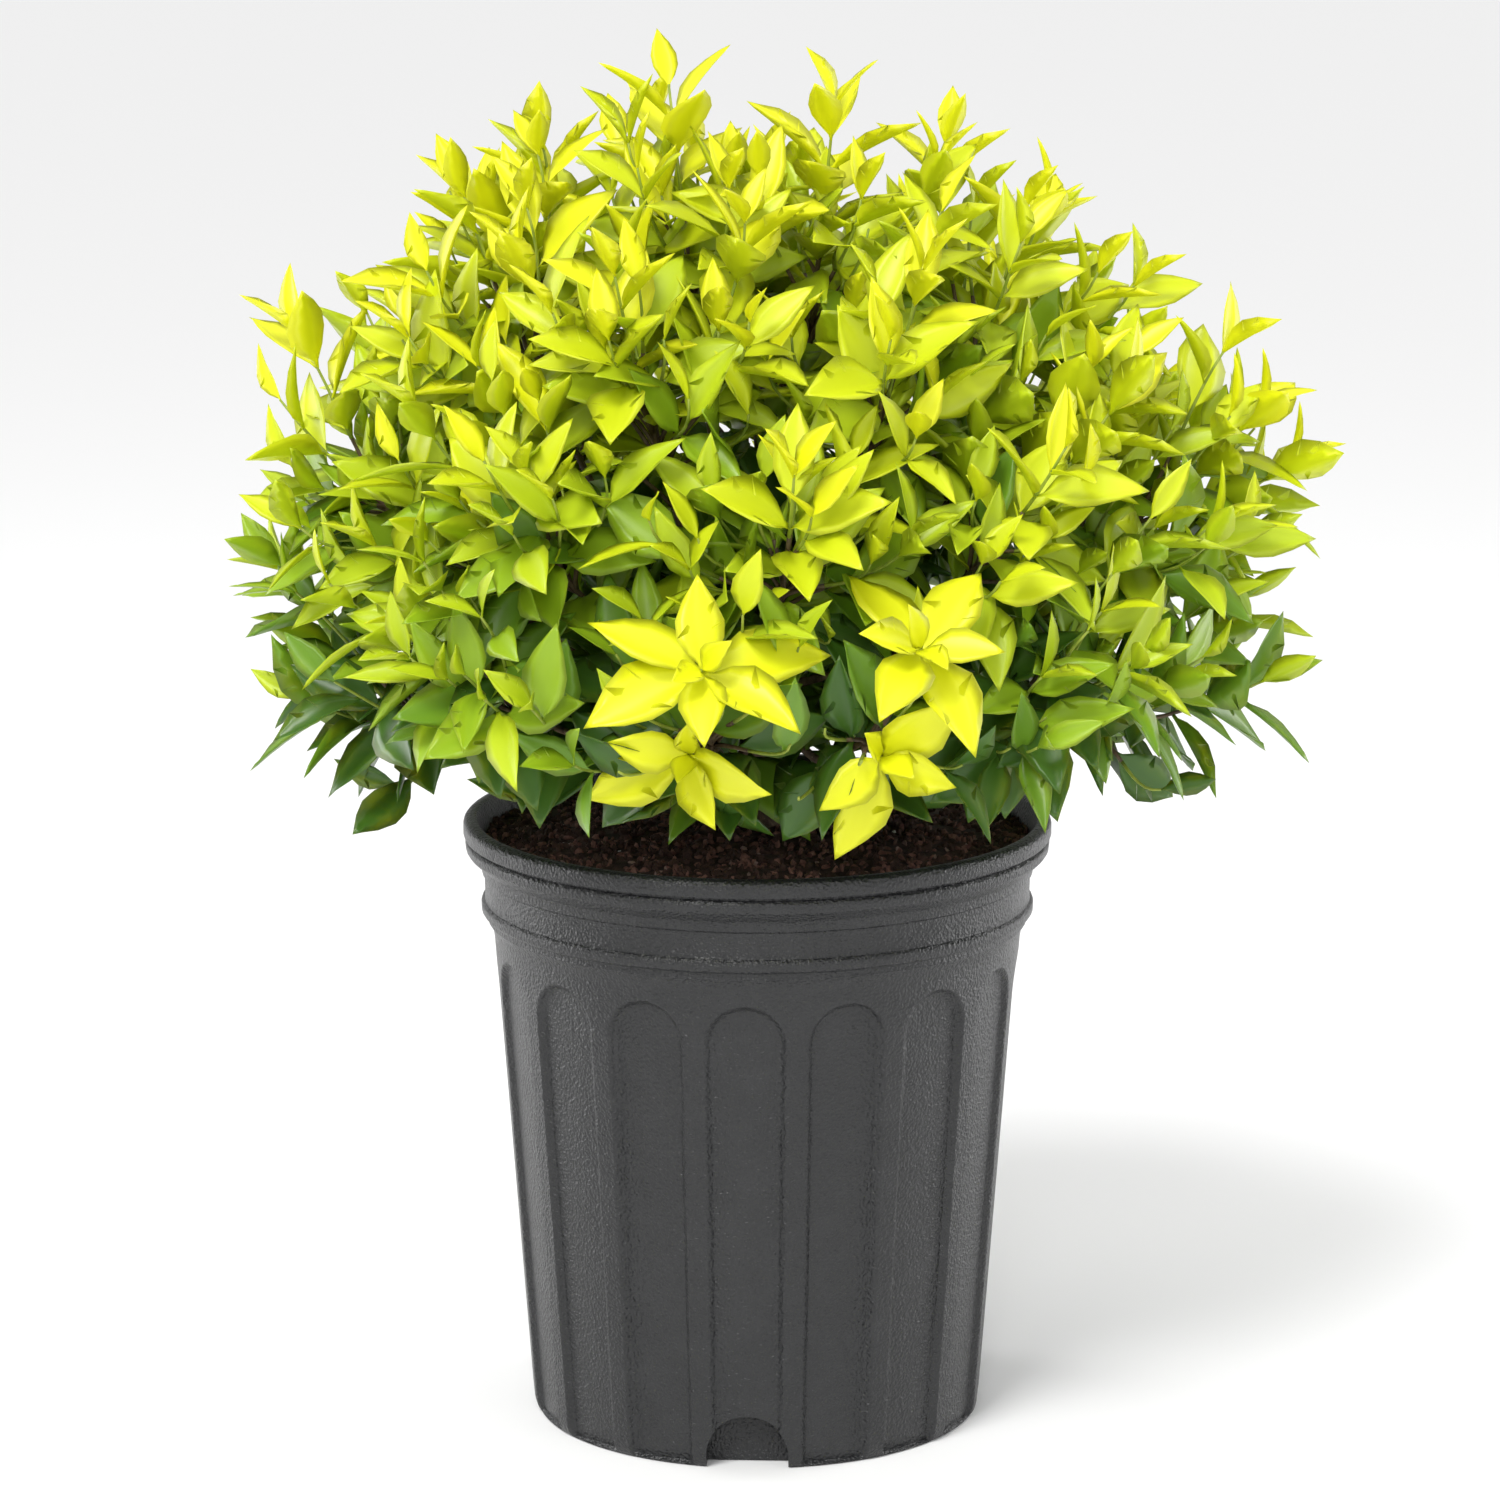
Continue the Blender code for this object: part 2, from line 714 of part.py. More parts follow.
def pair_of_leaves(path, share, turn, spread):
    """Root, heading and upper side of the two opposite leaves at a node of a shoot."""
    root = path.point(share)
    along = path.heading(share)
    across = along.cross(UP if abs(along.z) < 0.95 else Vector((1.0, 0.0, 0.0))).normalized()
    side = Matrix.Rotation(turn, 3, along) @ across
    for sign in (1, -1):
        out = side * sign
        blade = (along * math.cos(spread) + out * math.sin(spread)).normalized()
        upper = along * math.sin(spread) - out * math.cos(spread)
        upper = upper + (UP + (root - FORK).normalized() * 0.5) * LEAF_TILT
        yield root, blade, upper


def grow_shoot(path, first, rng):
    """Places of the leaves along one shoot: pairs, each turned from the last."""
    count = max(2, round(path.length * (1.0 - first) / NODE_SPACING) + 1)
    turn = rng.uniform(0.0, math.pi)
    for number in range(count):
        share = first + (LEAF_END - first) * number / (count - 1)
        last = number == count - 1
        spread = math.radians(TIP_SPREAD if last else LEAF_SPREAD)
        size = (TIP_SIZE if last else 1.0) * rng.uniform(*LEAF_SIZES)
        for root, blade, upper in pair_of_leaves(path, share, turn, spread):
            yield leaf_frame(root, blade, upper, size)
        turn += math.pi / 2 + rng.uniform(-PAIR_TURN, PAIR_TURN)


def mass_shoots(mass, tips):
    """The mass's own stem, then a shoot from the stem to each of its tips."""
    lift = UP * lift_of(mass.aim)
    end = FORK + mass.aim * (mass.reach - LEAF_LENGTH * TIP_SHARE)
    stem = Path(mass.start, mass.aim, end, mass.aim + lift)
    yield stem, STEM_RADII, STEM_POINTS
    for aim, reach in tips:
        apart = math.degrees(math.acos(min(1.0, mass.aim.dot(aim))))
        share = max(SHOOT_LOWEST, SHOOT_HIGHEST - apart * SHOOT_DROP)
        tip = FORK + aim * (reach - LEAF_LENGTH * TIP_SHARE)
        base = stem.point(share)
        heading = stem.heading(share) + (tip - base).normalized()
        yield Path(base, heading, tip, aim + UP * lift_of(aim)), SHOOT_RADII, SHOOT_POINTS


def build_mass(mass, tips, keeper, parts, outline, leaf, material, rng):
    """One mass: its stem, its shoots and its leaves, joined into one solid."""
    loose = bpy.data.collections.new("loose " + mass.name)
    bpy.context.scene.collection.children.link(loose)
    stem = None
    probes = leaf_points()
    taken = []
    for path, radii, count in mass_shoots(mass, tips):
        points = path.points(count)
        if stem is None:
            points.insert(1, points[0] + mass.aim * STRAIGHT)
        else:
            held = all(mass.holds(point, LEAF_MARGIN + radii[0]) for point in points)
            free = all(keeper.clear(point, LEAF_MARGIN + radii[0]) for point in points[1:])
            if not (held and free):
                continue
        widths = tapered(radii, len(points))
        twig = rod("twig", points, widths, loose if stem else parts, profile=outline)
        if stem is None:
            stem = twig
        first = LEAF_START if stem is twig else LEAF_START_SHOOT
        for frame in grow_shoot(path, first, rng):
            spots = [frame @ probe for probe in probes]
            if not all(mass.holds(spot, LEAF_MARGIN) for spot in spots):
                continue
            if not all(keeper.clear(spot, LEAF_MARGIN) for spot in spots):
                continue
            if any((spot - other).length < LEAF_APART for spot in spots for other in taken):
                continue
            taken.extend(spots)
            blade = object_from_mesh("leaf", leaf.copy(), loose)
            blade.data.transform(frame)
    stem.name = "foliage_" + mass.name
    stem.data.name = stem.name
    stem.data.materials.append(material)
    joining = stem.modifiers.new("join", "BOOLEAN")
    joining.operation = "UNION"
    joining.operand_type = "COLLECTION"
    joining.collection = loose
    joining.solver = UNION_SOLVER
    joined = evaluated_mesh(stem)
    stem.modifiers.clear()
    keep_largest(joined)
    stem.data = joined
    stem.data.materials.clear()
    stem.data.materials.append(material)
    remove_collection(loose)


def keep_largest(mesh):
    """Drops every scrap that isn't joined to the largest body of the mesh."""
    shape = bmesh.new()
    shape.from_mesh(mesh)
    left = set(shape.verts)
    bodies = []
    while left:
        body = {left.pop()}
        edge = list(body)
        while edge:
            corner = edge.pop()
            for link in corner.link_edges:
                other = link.other_vert(corner)
                if other in left:
                    left.remove(other)
                    body.add(other)
                    edge.append(other)
        bodies.append(body)
    bodies.sort(key=len)
    for body in bodies[:-1]:
        bmesh.ops.delete(shape, geom=list(body), context="VERTS")
    shape.to_mesh(mesh)
    shape.free()


def main():
    clear_scene()
    rng = np.random.default_rng(SEED)
    parts = make_collection(OBJECT_NAME)
    cutters = make_collection("cutters")
    limbs = plan_limbs()
    masses = [
        Mass(name, azimuth, elevation, reach, limb_of(limbs, name, leader))
        for name, azimuth, elevation, reach, leader in MASSES
    ]
    shared = shoot_tips(masses, rng)
    keeper = Keeper(limbs)
    outline = triangle_profile(cutters)
    leaf = leaf_mesh("leaf")
    bright = make_material("new leaves", LEMON, 0.45)
    dark = make_material("old leaves", LIME, 0.45)
    for mass in masses:
        mass.find_sides(masses)
        material = bright if mass.elevation > BRIGHT_ELEVATION else dark
        build_mass(mass, shared[mass.name], keeper, parts, outline, leaf, material, rng)
    hide_cutter(outline)

    bark = make_material("bark", BARK, 0.8)
    build_trunk(parts, cutters, bark)
    for limb in limbs.values():
        build_limb(limb, parts, cutters, bark)
    build_pot(parts, cutters)
    build_soil(parts, cutters)


main()
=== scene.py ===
"""Looks of a golden-leaved Chinese privet in a black ribbed nursery pot.

The limbs, shoots and leaves follow the rule that the solids were made by, carried on to more
and finer shoots. Metres, +Z up. The origin is the middle of the pot's flat underside.
An azimuth is counted from the front, -Y, towards +X, an elevation from level upwards.
"""

import math

import bmesh
import bpy
import numpy as np
from mathutils import Matrix, Vector, noise


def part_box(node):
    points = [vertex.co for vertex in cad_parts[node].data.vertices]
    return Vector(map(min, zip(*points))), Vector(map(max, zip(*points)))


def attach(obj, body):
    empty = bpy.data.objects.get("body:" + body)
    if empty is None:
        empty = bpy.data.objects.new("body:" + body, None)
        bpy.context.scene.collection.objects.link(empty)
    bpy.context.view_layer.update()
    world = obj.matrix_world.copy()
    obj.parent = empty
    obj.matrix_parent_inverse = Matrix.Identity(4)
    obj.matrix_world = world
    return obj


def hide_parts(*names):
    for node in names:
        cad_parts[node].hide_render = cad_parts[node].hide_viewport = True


bl_info = {
    "name": "Potted golden privet",
    "version": (1, 0, 0),
    "blender": (4, 5, 0),
    "location": "View3D > Sidebar > Privet",
    "description": "Makes the pot, the potting mix, the limbs and the leaves of a potted privet",
    "category": "Add Mesh",
}

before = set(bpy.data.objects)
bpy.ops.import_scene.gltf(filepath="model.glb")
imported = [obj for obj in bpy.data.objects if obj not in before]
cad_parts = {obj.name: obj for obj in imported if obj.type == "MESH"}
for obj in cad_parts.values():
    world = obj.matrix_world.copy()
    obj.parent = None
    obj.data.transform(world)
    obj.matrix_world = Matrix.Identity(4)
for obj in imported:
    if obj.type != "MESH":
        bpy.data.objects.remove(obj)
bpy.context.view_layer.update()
BODY = "root"
POT_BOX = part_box("pot")

UP = Vector((0.0, 0.0, 1.0))
FRONT = Vector((0.0, -0.97, 0.24))  # towards the camera
CLEAR = 0.0003  # gap that keeps two surfaces from lying in one plane

# Pot, as in the solids
RIM_RADIUS = 0.1125
FOOT_RADIUS = 0.0845
BODY_TOP_HEIGHT = 0.1875
BODY_TOP_RADIUS = 0.1008
BODY_FOOT_HEIGHT = 0.007
BODY_FOOT_RADIUS = 0.0872
FLUTE_COUNT = 16
FLUTE_PITCH = math.tau / FLUTE_COUNT
FLUTE_TURN = math.radians(-2.6)
FLUTE_HALF_WIDTH_FOOT = 0.0137
FLUTE_BORDER = 0.0026
POCKET_COUNT = 4
POCKET_HALF_WIDTH = 0.0155
POCKET_HEIGHT = 0.0205
POCKET_DEPTH = 0.012
POCKET_REACH = 0.04  # length of a pocket's cutter, outwards
POCKET_BELOW = 0.01  # how far the cutter goes on below the foot
POCKET_STEPS = 25
SHARP_ANGLE = math.radians(38)

# inset from the rim's radius and drop from its top, down the lip, the roll, the collar and the ridge
COLLAR = (
    (0.0100, 0.0170),
    (0.0056, 0.0012),
    (0.0050, 0.0003),
    (0.0040, 0.0),
    (0.0024, 0.0001),
    (0.0010, 0.0006),
    (0.0003, 0.0014),
    (0.0, 0.0026),
    (0.0, 0.0060),
    (0.0003, 0.0066),
    (0.0019, 0.0070),
    (0.0021, 0.0078),
    (0.0010, 0.0086),
    (0.0007, 0.0094),
    (0.0010, 0.0120),
    (0.0018, 0.0131),
    (0.0060, 0.0166),
    (0.0066, 0.0174),
    (0.0070, 0.0208),
    (0.0078, 0.0216),
    (0.0080, 0.0236),
    (0.0082, 0.0306),
    (0.0080, 0.0315),
    (0.0070, 0.0323),
    (0.0067, 0.0332),
    (0.0068, 0.0356),
    (0.0074, 0.0364),
    (0.0092, 0.0373),
    (0.0094, 0.0388),
    (0.0092, 0.0396),
    (0.0111, 0.0424),
)

# inset from the radius of the body's foot and height, round the foot's corner
FOOT_CORNER = ((0.0001, 0.0055), (0.0005, 0.0036), (0.0012, 0.0016))
FOOT_BEVEL = (0.0006, 0.0004)
FOOT_DISC_SHARE = 0.5

# columns across half a flute, crowded at its border, and on the rib beside it
FLUTE_COLUMNS = (0.0, 0.22, 0.44, 0.64, 0.78, 0.84, 0.89, 0.94, 1.0)
RIB_COLUMNS = (0.10, 0.45, 1.0)
NARROWEST_FLUTE = 0.34  # share of its width to which the columns close in at an arch's top
WIDEST_FLUTE = 0.92  # share of the pitch
ROWS_OVER_ARCH = 5
ROWS_IN_ARCH = 30
ROWS_BELOW_ARCH = 20
ARCH_MARGIN = 0.0006

# Soil, as in the solids
SOIL_EDGE_HEIGHT = 0.2262
SOIL_CROWN_HEIGHT = 0.2312
SOIL_RADIUS = 0.1066
SOIL_RINGS = 44
SOIL_STEPS = 120
SOIL_DROP = 0.0016  # how far its mean height lies below the solid's crown
SOIL_FALL = 1.6  # power of the fall from the stem to the edge
SOIL_LUMPS = ((90, 1.0, 0.0), (260, 0.5, 3.0))  # lumps in a metre, weight, layer of the noise
SKIRT_INSET = 0.0015
SKIRT_DEPTH = 0.008
SOIL_TOP_FACING = 0.3  # how far up a face of the top looks at least
GRAIN_SWELL = 0.35
GRAIN_NOISE = 3.1
GRAIN_FLATNESS = 0.5

# name, base colours, share of the density, smallest and largest grain, seed
GRAINS = (
    ("bark_dark", (0.036, 0.018, 0.013), (0.100, 0.050, 0.036), 0.55, 0.0016, 0.0062, 3),
    ("bark_red", (0.130, 0.055, 0.040), (0.28, 0.145, 0.115), 0.30, 0.0014, 0.0058, 5),
    ("bark_pale", (0.22, 0.14, 0.12), (0.34, 0.23, 0.20), 0.05, 0.0010, 0.0040, 8),
    ("perlite", (0.62, 0.60, 0.57), (0.78, 0.76, 0.72), 0.006, 0.0012, 0.0024, 13),
)

# Trunk, leaders and boughs, as in the solids
FORK = Vector((0.0, 0.0, 0.232))
TRUNK_FOOT = SOIL_CROWN_HEIGHT + CLEAR
TRUNK_BEND = 0.240
TRUNK_TOP = 0.266
TRUNK_LEAN = Vector((0.003, -0.002, 0.0))
TRUNK_SHARES = (0.0, 0.10, 0.25, 0.55, 1.0)
TRUNK_RADII = (0.0140, 0.0108, 0.0090, 0.0080, 0.0075)
LIMB_SHARE = 0.43
LEADER_RADII = (0.0036, 0.0021)
LEADER_LIFT = 0.1
BOUGH_SHARE = 0.76
BOUGH_TIP_RADIUS = 0.0015
BOUGH_FOLLOW = 0.6
TRUNK_SIDES, TRUNK_RINGS = 28, 30
LIMB_SIDES, LIMB_RINGS = 12, 26
ROOT_FADE = 2.2  # how fast the ridges of the roots' flare fade
PULL = 0.36  # share of a path's length over which the heading at each end acts

# how far a leader's root is from the trunk's middle, and its height
LEADER_SEATS = {
    "leader_top_left": (0.0036, 0.262),
    "leader_top_right": (0.0036, 0.262),
    "leader_front": (0.0, 0.2430),
    "leader_left": (0.0, 0.2460),
    "leader_right": (0.0, 0.2490),
    "leader_back": (0.0, 0.2440),
}

# how far along its leader a bough starts
BOUGH_SEATS = {
    "shoulder_left": 0.42,
    "shoulder_right": 0.42,
    "front_top_left": 0.26,
    "front_top_right": 0.26,
    "back_top": 0.60,
    "front_left": 0.62,
    "front_right": 0.74,
    "front_low_left": 0.40,
    "front_low_right": 0.52,
    "side_left": 0.34,
    "side_right": 0.34,
    "left_low": 0.24,
    "right_low": 0.24,
    "back_left": 0.62,
    "back_right": 0.62,
    "back_low_left": 0.46,
    "back_low_right": 0.46,
    "back_low": 0.30,
}

# name, azimuth and elevation in degrees, reach from the fork, leader that carries it
MASSES = (
    ("crown_left", -105, 83, 0.302, "leader_top_left"),
    ("crown_right", 90, 84, 0.295, "leader_top_right"),
    ("front_mid", 5, 47, 0.236, "leader_front"),
    ("left_high", -90, 42, 0.262, "leader_left"),
    ("right_high", 91, 40, 0.268, "leader_right"),
    ("back_mid", 180, 46, 0.245, "leader_back"),
    ("shoulder_left", -97, 64, 0.286, "leader_top_left"),
    ("shoulder_right", 98, 65, 0.282, "leader_top_right"),
    ("front_top_left", -30, 65, 0.265, "leader_top_left"),
    ("front_top_right", 35, 65, 0.266, "leader_top_right"),
    ("back_top", 175, 66, 0.275, "leader_back"),
    ("front_left", -40, 46, 0.240, "leader_front"),
    ("front_right", 45, 46, 0.246, "leader_front"),
    ("front_low_left", -9, 27, 0.196, "leader_front"),
    ("front_low_right", 20, 26, 0.204, "leader_front"),
    ("side_left", -50, 27, 0.205, "leader_left"),
    ("side_right", 54, 26, 0.212, "leader_right"),
    ("left_low", -86, 16, 0.200, "leader_left"),
    ("right_low", 88, 16, 0.219, "leader_right"),
    ("back_left", -137, 46, 0.250, "leader_left"),
    ("back_right", 137, 46, 0.252, "leader_right"),
    ("back_low_left", -132, 22, 0.200, "leader_left"),
    ("back_low_right", 132, 22, 0.204, "leader_right"),
    ("back_low", 180, 22, 0.192, "leader_back"),
)

# tips that stand out of the crown: azimuth, elevation, reach
TIPS = (
    (-84, 7, 0.156),
    (-88, 38, 0.240),
    (-92, 47, 0.272),
    (-11, 16, 0.133),
    (20, 15, 0.138),
    (82, 6, 0.173),
    (-46, 13, 0.134),
    (44, 11, 0.141),
    (94, 34, 0.262),
    (88, 46, 0.270),
    (105, 74, 0.284),
    (-95, 72, 0.285),
)

# shoots that turn an open rosette of large leaves to the front: azimuth, elevation, reach
ROSETTES = (
    (-7, 29, 0.196),
    (20, 30, 0.204),
    (-11, 22, 0.150),
    (19, 21, 0.155),
)

# name, base colour, roughness: from the newest and most lit leaves to the oldest and most shaded, so
# the darker tones are partly the leaves' age and partly painted shade
LEAF_FINISHES = (
    ("lemon", (0.76, 0.78, 0.010), 0.42),
    ("sulphur", (0.60, 0.68, 0.010), 0.42),
    ("lime", (0.46, 0.58, 0.014), 0.40),
    ("spring", (0.27, 0.42, 0.014), 0.38),
    ("meadow", (0.13, 0.26, 0.016), 0.36),
    ("deep", (0.050, 0.130, 0.014), 0.34),
)

# newness, which also carries painted light and shade, at which one tone gives way to the next
TONE_STEPS = (0.76, 0.60, 0.45, 0.30, 0.14)

# Shoots: places on a path are shares of its length
STEM_BARE, SIDE_BARE = 0.22, 0.34  # share below a shoot's first pair of leaves
STEM_NEWNESS = (0.75, 1.0)
SIDE_NEWNESS = (0.35, 1.0)
SIDE_LOWEST, SIDE_HIGHEST = 0.04, 0.62  # where on a mass's stem a side shoot starts
SIDE_LOWERED = 0.024  # how much lower it starts for each degree that it turns away
STEM_INSET, SIDE_INSET, ROSETTE_INSET = 0.5, 0.45, 0.2  # leaf lengths short of the reach
ROSETTE_FACING = 1.2
REACH_FOCUS = 30.0  # how strongly the nearest mass sets the crown's reach
GOLDEN_ANGLE = math.pi * (3.0 - math.sqrt(5.0))
AIM_SCATTER = 0.05
SIDE_REACHES = (0.80, 0.985)  # reach of a scattered shoot, as a share of the crown's
SHOOT_LIFT = 0.35
LOWEST_RISE = 0.26
LOWEST_KEPT = 0.25  # share of the scattered shoots that is kept at the lowest rise
FULL_RISE = 0.62  # sine of the elevation above which no scattered shoot is left out
SEED = 23

# Twigs: brown wood at the foot, young green from a numbered point on
TWIG_POINTS = 12
STEM_WOOD, SIDE_WOOD = 8, 5
STEM_RADIUS, SIDE_RADIUS, TWIG_TIP_RADIUS = 0.0015, 0.0010, 0.0005
WOOD_SIDES, GREEN_SIDES = 6, 5

# Pairs of leaves: counted from a shoot's tip down, spreads in degrees
PAIR_SPREADS = (22, 38, 46, 54)
PAIR_SIZES = (0.66, 0.94, 1.0, 0.94)
FEWEST_PAIRS = 3
LAST_PAIR = 0.99  # place of the pair at the tip
YOUNG_PAIRS = 2  # these are slimmer, and open less on a low shoot
FULL_PAIRS = 3  # the pairs below these are a little wider
FULL_WIDENING = 1.04
LOW_SPREAD = 14  # degrees by which the pairs of a low shoot open further
LOW_RISE = 0.66  # sine of the elevation below which shoots are low ones, whose leaves are dealt darker tones, partly for age and partly as painted shade
# how much darker the tones of a low shoot's leaves are, most at its foot: partly age, partly painted
# shade
LOW_AGE_AND_SHADE, LOW_FOOT_AGE_AND_SHADE = 0.42, 0.30
ROSETTE_TURN = 0.62  # radians by which a rosette's pairs turn on past a right angle
ROSETTE_STEP = 0.024  # distance between its pairs
ROSETTE_NEWNESS = 2.0  # past all other leaves, so that none of these is dropped for another
ROSETTE_SPREADS = (30, 55, 70, 80, 90)
ROSETTE_SIZES = (0.55, 0.90, 1.10, 1.20, 1.10)
ROSETTE_RADIUS = 0.034  # how far round a rosette the view from the front is kept free
SPREAD_SCATTER = 7
TURN_SCATTER = 0.3
STEEP = 0.95  # rise of a heading past which another guide than upwards is used

# Leaves
LEAF_NEW = 0.039  # length of a full leaf
LEAF_WIDTHS = (0.40, 0.52)  # width to length, of young pairs and of the others
LENGTH_SCATTER = (0.86, 1.12)
WIDTH_SCATTER = (0.88, 1.1)
DROOP, LOW_DROOP = 0.10, 0.22
FACING_OUT, FACING_UP = 0.6, 0.35  # how far a leaf's upper side turns out of the crown and up
FACING_SCATTER = 0.16
# weights of the score that deals the tones: the shoot and the place along it give age; depth in the
# crown and height also paint light, paler far out and high up, and painted shade deep inside and low
# down
NEW_BY_SHOOT, NEW_AND_LIT_BY_DEPTH, NEW_AND_LIT_BY_RISE, NEW_BY_PLACE = 0.42, 1.1, 0.36, 0.16
NEW_LESS = 0.93
NEW_SCATTER = 0.07
LEAF_SPOTS = (0.35, 0.62, 0.90)  # shares of a leaf's length that are kept clear of other leaves
LEAF_APART = 0.0062
NEIGHBOURS = [(x, y, z) for x in (-1, 0, 1) for y in (-1, 0, 1) for z in (-1, 0, 1)]
RIM_GAP, RIM_RISE = 0.002, 0.001  # room that leaves keep round and over the pot
HANG_SLOPE, HANG_DROP, HANG_HALF_WIDTH = 0.18, 0.006, 0.14  # the free place before the rim

# older leaves along the outer part of the limbs, deep in the crown: dealt the darkest tones, partly
# for age and partly as painted shade
INNER_FROM = 0.35
INNER_PAIRS = 8
INNER_SEAT = 0.6  # share of the limb's radius at which a leaf is rooted
INNER_LENGTHS = (1.0, 1.25)
INNER_WIDTH = 0.5
INNER_BLADE = (0.5, 0.8, 0.15)  # how far the blade points along the limb, out of it and up
INNER_UPPER = (0.4, 0.2)  # how far its upper side turns along the limb and in to it
# tone scores of these leaves, in the darkest tones: partly age, partly painted shade
INNER_AGE_AND_SHADE = (-0.1, 0.25)

# one leaf, a length of one along +Y
LEAF_STATIONS = (0.0, 0.08, 0.20, 0.36, 0.54, 0.74, 0.90)
LEAF_ACROSS = (-1.0, -0.5, 0.0, 0.5, 1.0)
LEAF_STALK = 0.05  # share of the length that is stalk
LEAF_STALK_HALF = 0.035
LEAF_FULLEST = 0.84  # below 1 the widest place lies nearer the root
LEAF_TAPER = 1.12
LEAF_WAVE = 0.012  # height of the waves along a leaf's edge
WAVE_ALONG, WAVE_ACROSS = 9.0, 1.4  # radians in a length and between the middle and an edge
LEAF_KEEL = 0.012  # how far the middle of the underside lies below the upper side

# kind, fold, curl and twist
LEAF_SHAPES = (("folded", 0.26, 0.08, 0.12), ("open", 0.14, 0.16, -0.16))

# Stage
FLOOR_HALF = 15.0
SKY_STRENGTH = 0.50
LIT_PLACE = (0.0, 0.0, 0.3)
SUN_POWER = 1.9
SUN_SPREAD = math.radians(22)
SUN_TURN = (math.radians(38), 0.0, math.radians(-28))
CAMERA_PLACE = (-0.0028, -2.4, 0.777)
FILM_WIDTH = 36.0

# name, place, width and height, power, colour
LIGHTS = (
    ("key light", (-0.9, -1.5, 1.9), (1.0, 1.0), 10.0, (1.0, 0.98, 0.95)),
    ("fill light", (1.4, -1.2, 0.9), (0.9, 1.2), 4.0, (1.0, 1.0, 1.0)),
    ("left edge light", (-1.5, 0.7, 0.5), (0.5, 1.2), 12.0, (1.0, 1.0, 1.0)),
    ("right edge light", (1.5, 0.7, 0.5), (0.5, 1.2), 12.0, (1.0, 1.0, 1.0)),
    ("top light", (0.0, 0.2, 2.0), (1.2, 1.2), 5.0, (1.0, 1.0, 1.0)),
    ("front strip light", (-0.05, -2.1, 1.3), (0.22, 1.0), 9.0, (1.0, 1.0, 1.0)),
)


# Shader expressions


def feed(tree, target, value):
    """Sets a socket, or links it where the value comes from another node."""
    if isinstance(value, Value):
        value = value.socket
    if isinstance(value, bpy.types.NodeSocket):
        tree.links.new(value, target)
    else:
        target.default_value = value


def add_node(tree, kind, settings=None, sockets=None):
    """Any node: its type, its settings, and the values or links of its sockets."""
    made = tree.nodes.new(kind)
    for key, value in (settings or {}).items():
        setattr(made, key, value)
    for key, value in (sockets or {}).items():
        feed(tree, made.inputs[key], value)
    return made


class Value:
    """A shader number that plain sums work on. Each sum adds one Math node."""

    def __init__(self, finish, socket):
        self.finish = finish
        self.socket = socket

    def sum_with(self, operation, *others, clamp=False):
        numbers = [item.socket if isinstance(item, Value) else item for item in others]
        settings = {"operation": operation, "use_clamp": clamp}
        node = self.finish.node("ShaderNodeMath", settings, dict(enumerate(numbers)))
        return Value(self.finish, node.outputs[0])

    def __add__(self, other):
        return self.sum_with("ADD", self, other)

    def __radd__(self, other):
        return self.sum_with("ADD", other, self)

    def __sub__(self, other):
        return self.sum_with("SUBTRACT", self, other)

    def __rsub__(self, other):
        return self.sum_with("SUBTRACT", other, self)

    def __mul__(self, other):
        return self.sum_with("MULTIPLY", self, other)

    def __rmul__(self, other):
        return self.sum_with("MULTIPLY", other, self)

    def band(self, low, high):
        """Runs from 0 at low to 1 at high."""
        return self.sum_with("MULTIPLY", self - low, 1.0 / (high - low), clamp=True)


class Finish:
    """One material: its shader, and the nodes that feed it."""

    def __init__(self, name, colour, roughness):
        self.material = bpy.data.materials.new(name)
        self.material.use_nodes = True
        self.tree = self.material.node_tree
        self.shader = self.tree.nodes["Principled BSDF"]
        self.set("Base Color", (*colour, 1.0))
        self.set("Roughness", roughness)

    def set(self, socket, value):
        self.shader.inputs[socket].default_value = value

    def node(self, kind, settings=None, sockets=None):
        return add_node(self.tree, kind, settings, sockets)

    def place(self, stretch=(1.0, 1.0, 1.0)):
        """Object coordinates, stretched where a grain runs one way."""
        where = self.node("ShaderNodeTexCoord").outputs["Object"]
        return self.node("ShaderNodeMapping", None, {"Vector": where, "Scale": stretch}).outputs[0]

    def noise(self, scale, detail=3.0, stretch=(1.0, 1.0, 1.0)):
        sockets = {"Vector": self.place(stretch), "Scale": scale, "Detail": detail}
        return Value(self, self.node("ShaderNodeTexNoise", None, sockets).outputs["Fac"])

    def cells(self, scale):
        sockets = {"Vector": self.place(), "Scale": scale}
        return Value(self, self.node("ShaderNodeTexVoronoi", None, sockets).outputs["Distance"])

    def mix(self, factor, low, high):
        """Two colours mixed by a number."""
        ends = [end if isinstance(end, bpy.types.NodeSocket) else (*end, 1.0) for end in (low, high)]
        sockets = {0: factor, 6: ends[0], 7: ends[1]}
        return self.node("ShaderNodeMix", {"data_type": "RGBA"}, sockets).outputs[2]

    def connect(self, socket, value):
        feed(self.tree, self.shader.inputs[socket], value)

    def bump(self, height, strength, distance):
        sockets = {"Height": height, "Strength": strength, "Distance": distance}
        node = self.node("ShaderNodeBump", None, sockets)
        self.connect("Normal", node.outputs["Normal"])


def plastic_finish(colour):
    """Black moulded plastic with a fine pebble grain and paler scuffs."""
    finish = Finish("pot plastic", colour, 0.42)
    scuff = finish.noise(scale=70.0, detail=6.0).band(0.44, 0.80)
    pale = tuple(part * 1.7 + 0.006 for part in colour)
    finish.connect("Base Color", finish.mix(scuff * 0.35, colour, pale))
    finish.connect("Roughness", 0.29 + finish.noise(scale=220.0) * 0.14)
    grain = finish.noise(scale=900.0, detail=2.0) + finish.cells(scale=760.0) * 0.6
    finish.bump(grain, strength=0.9, distance=0.0007)
    return finish.material


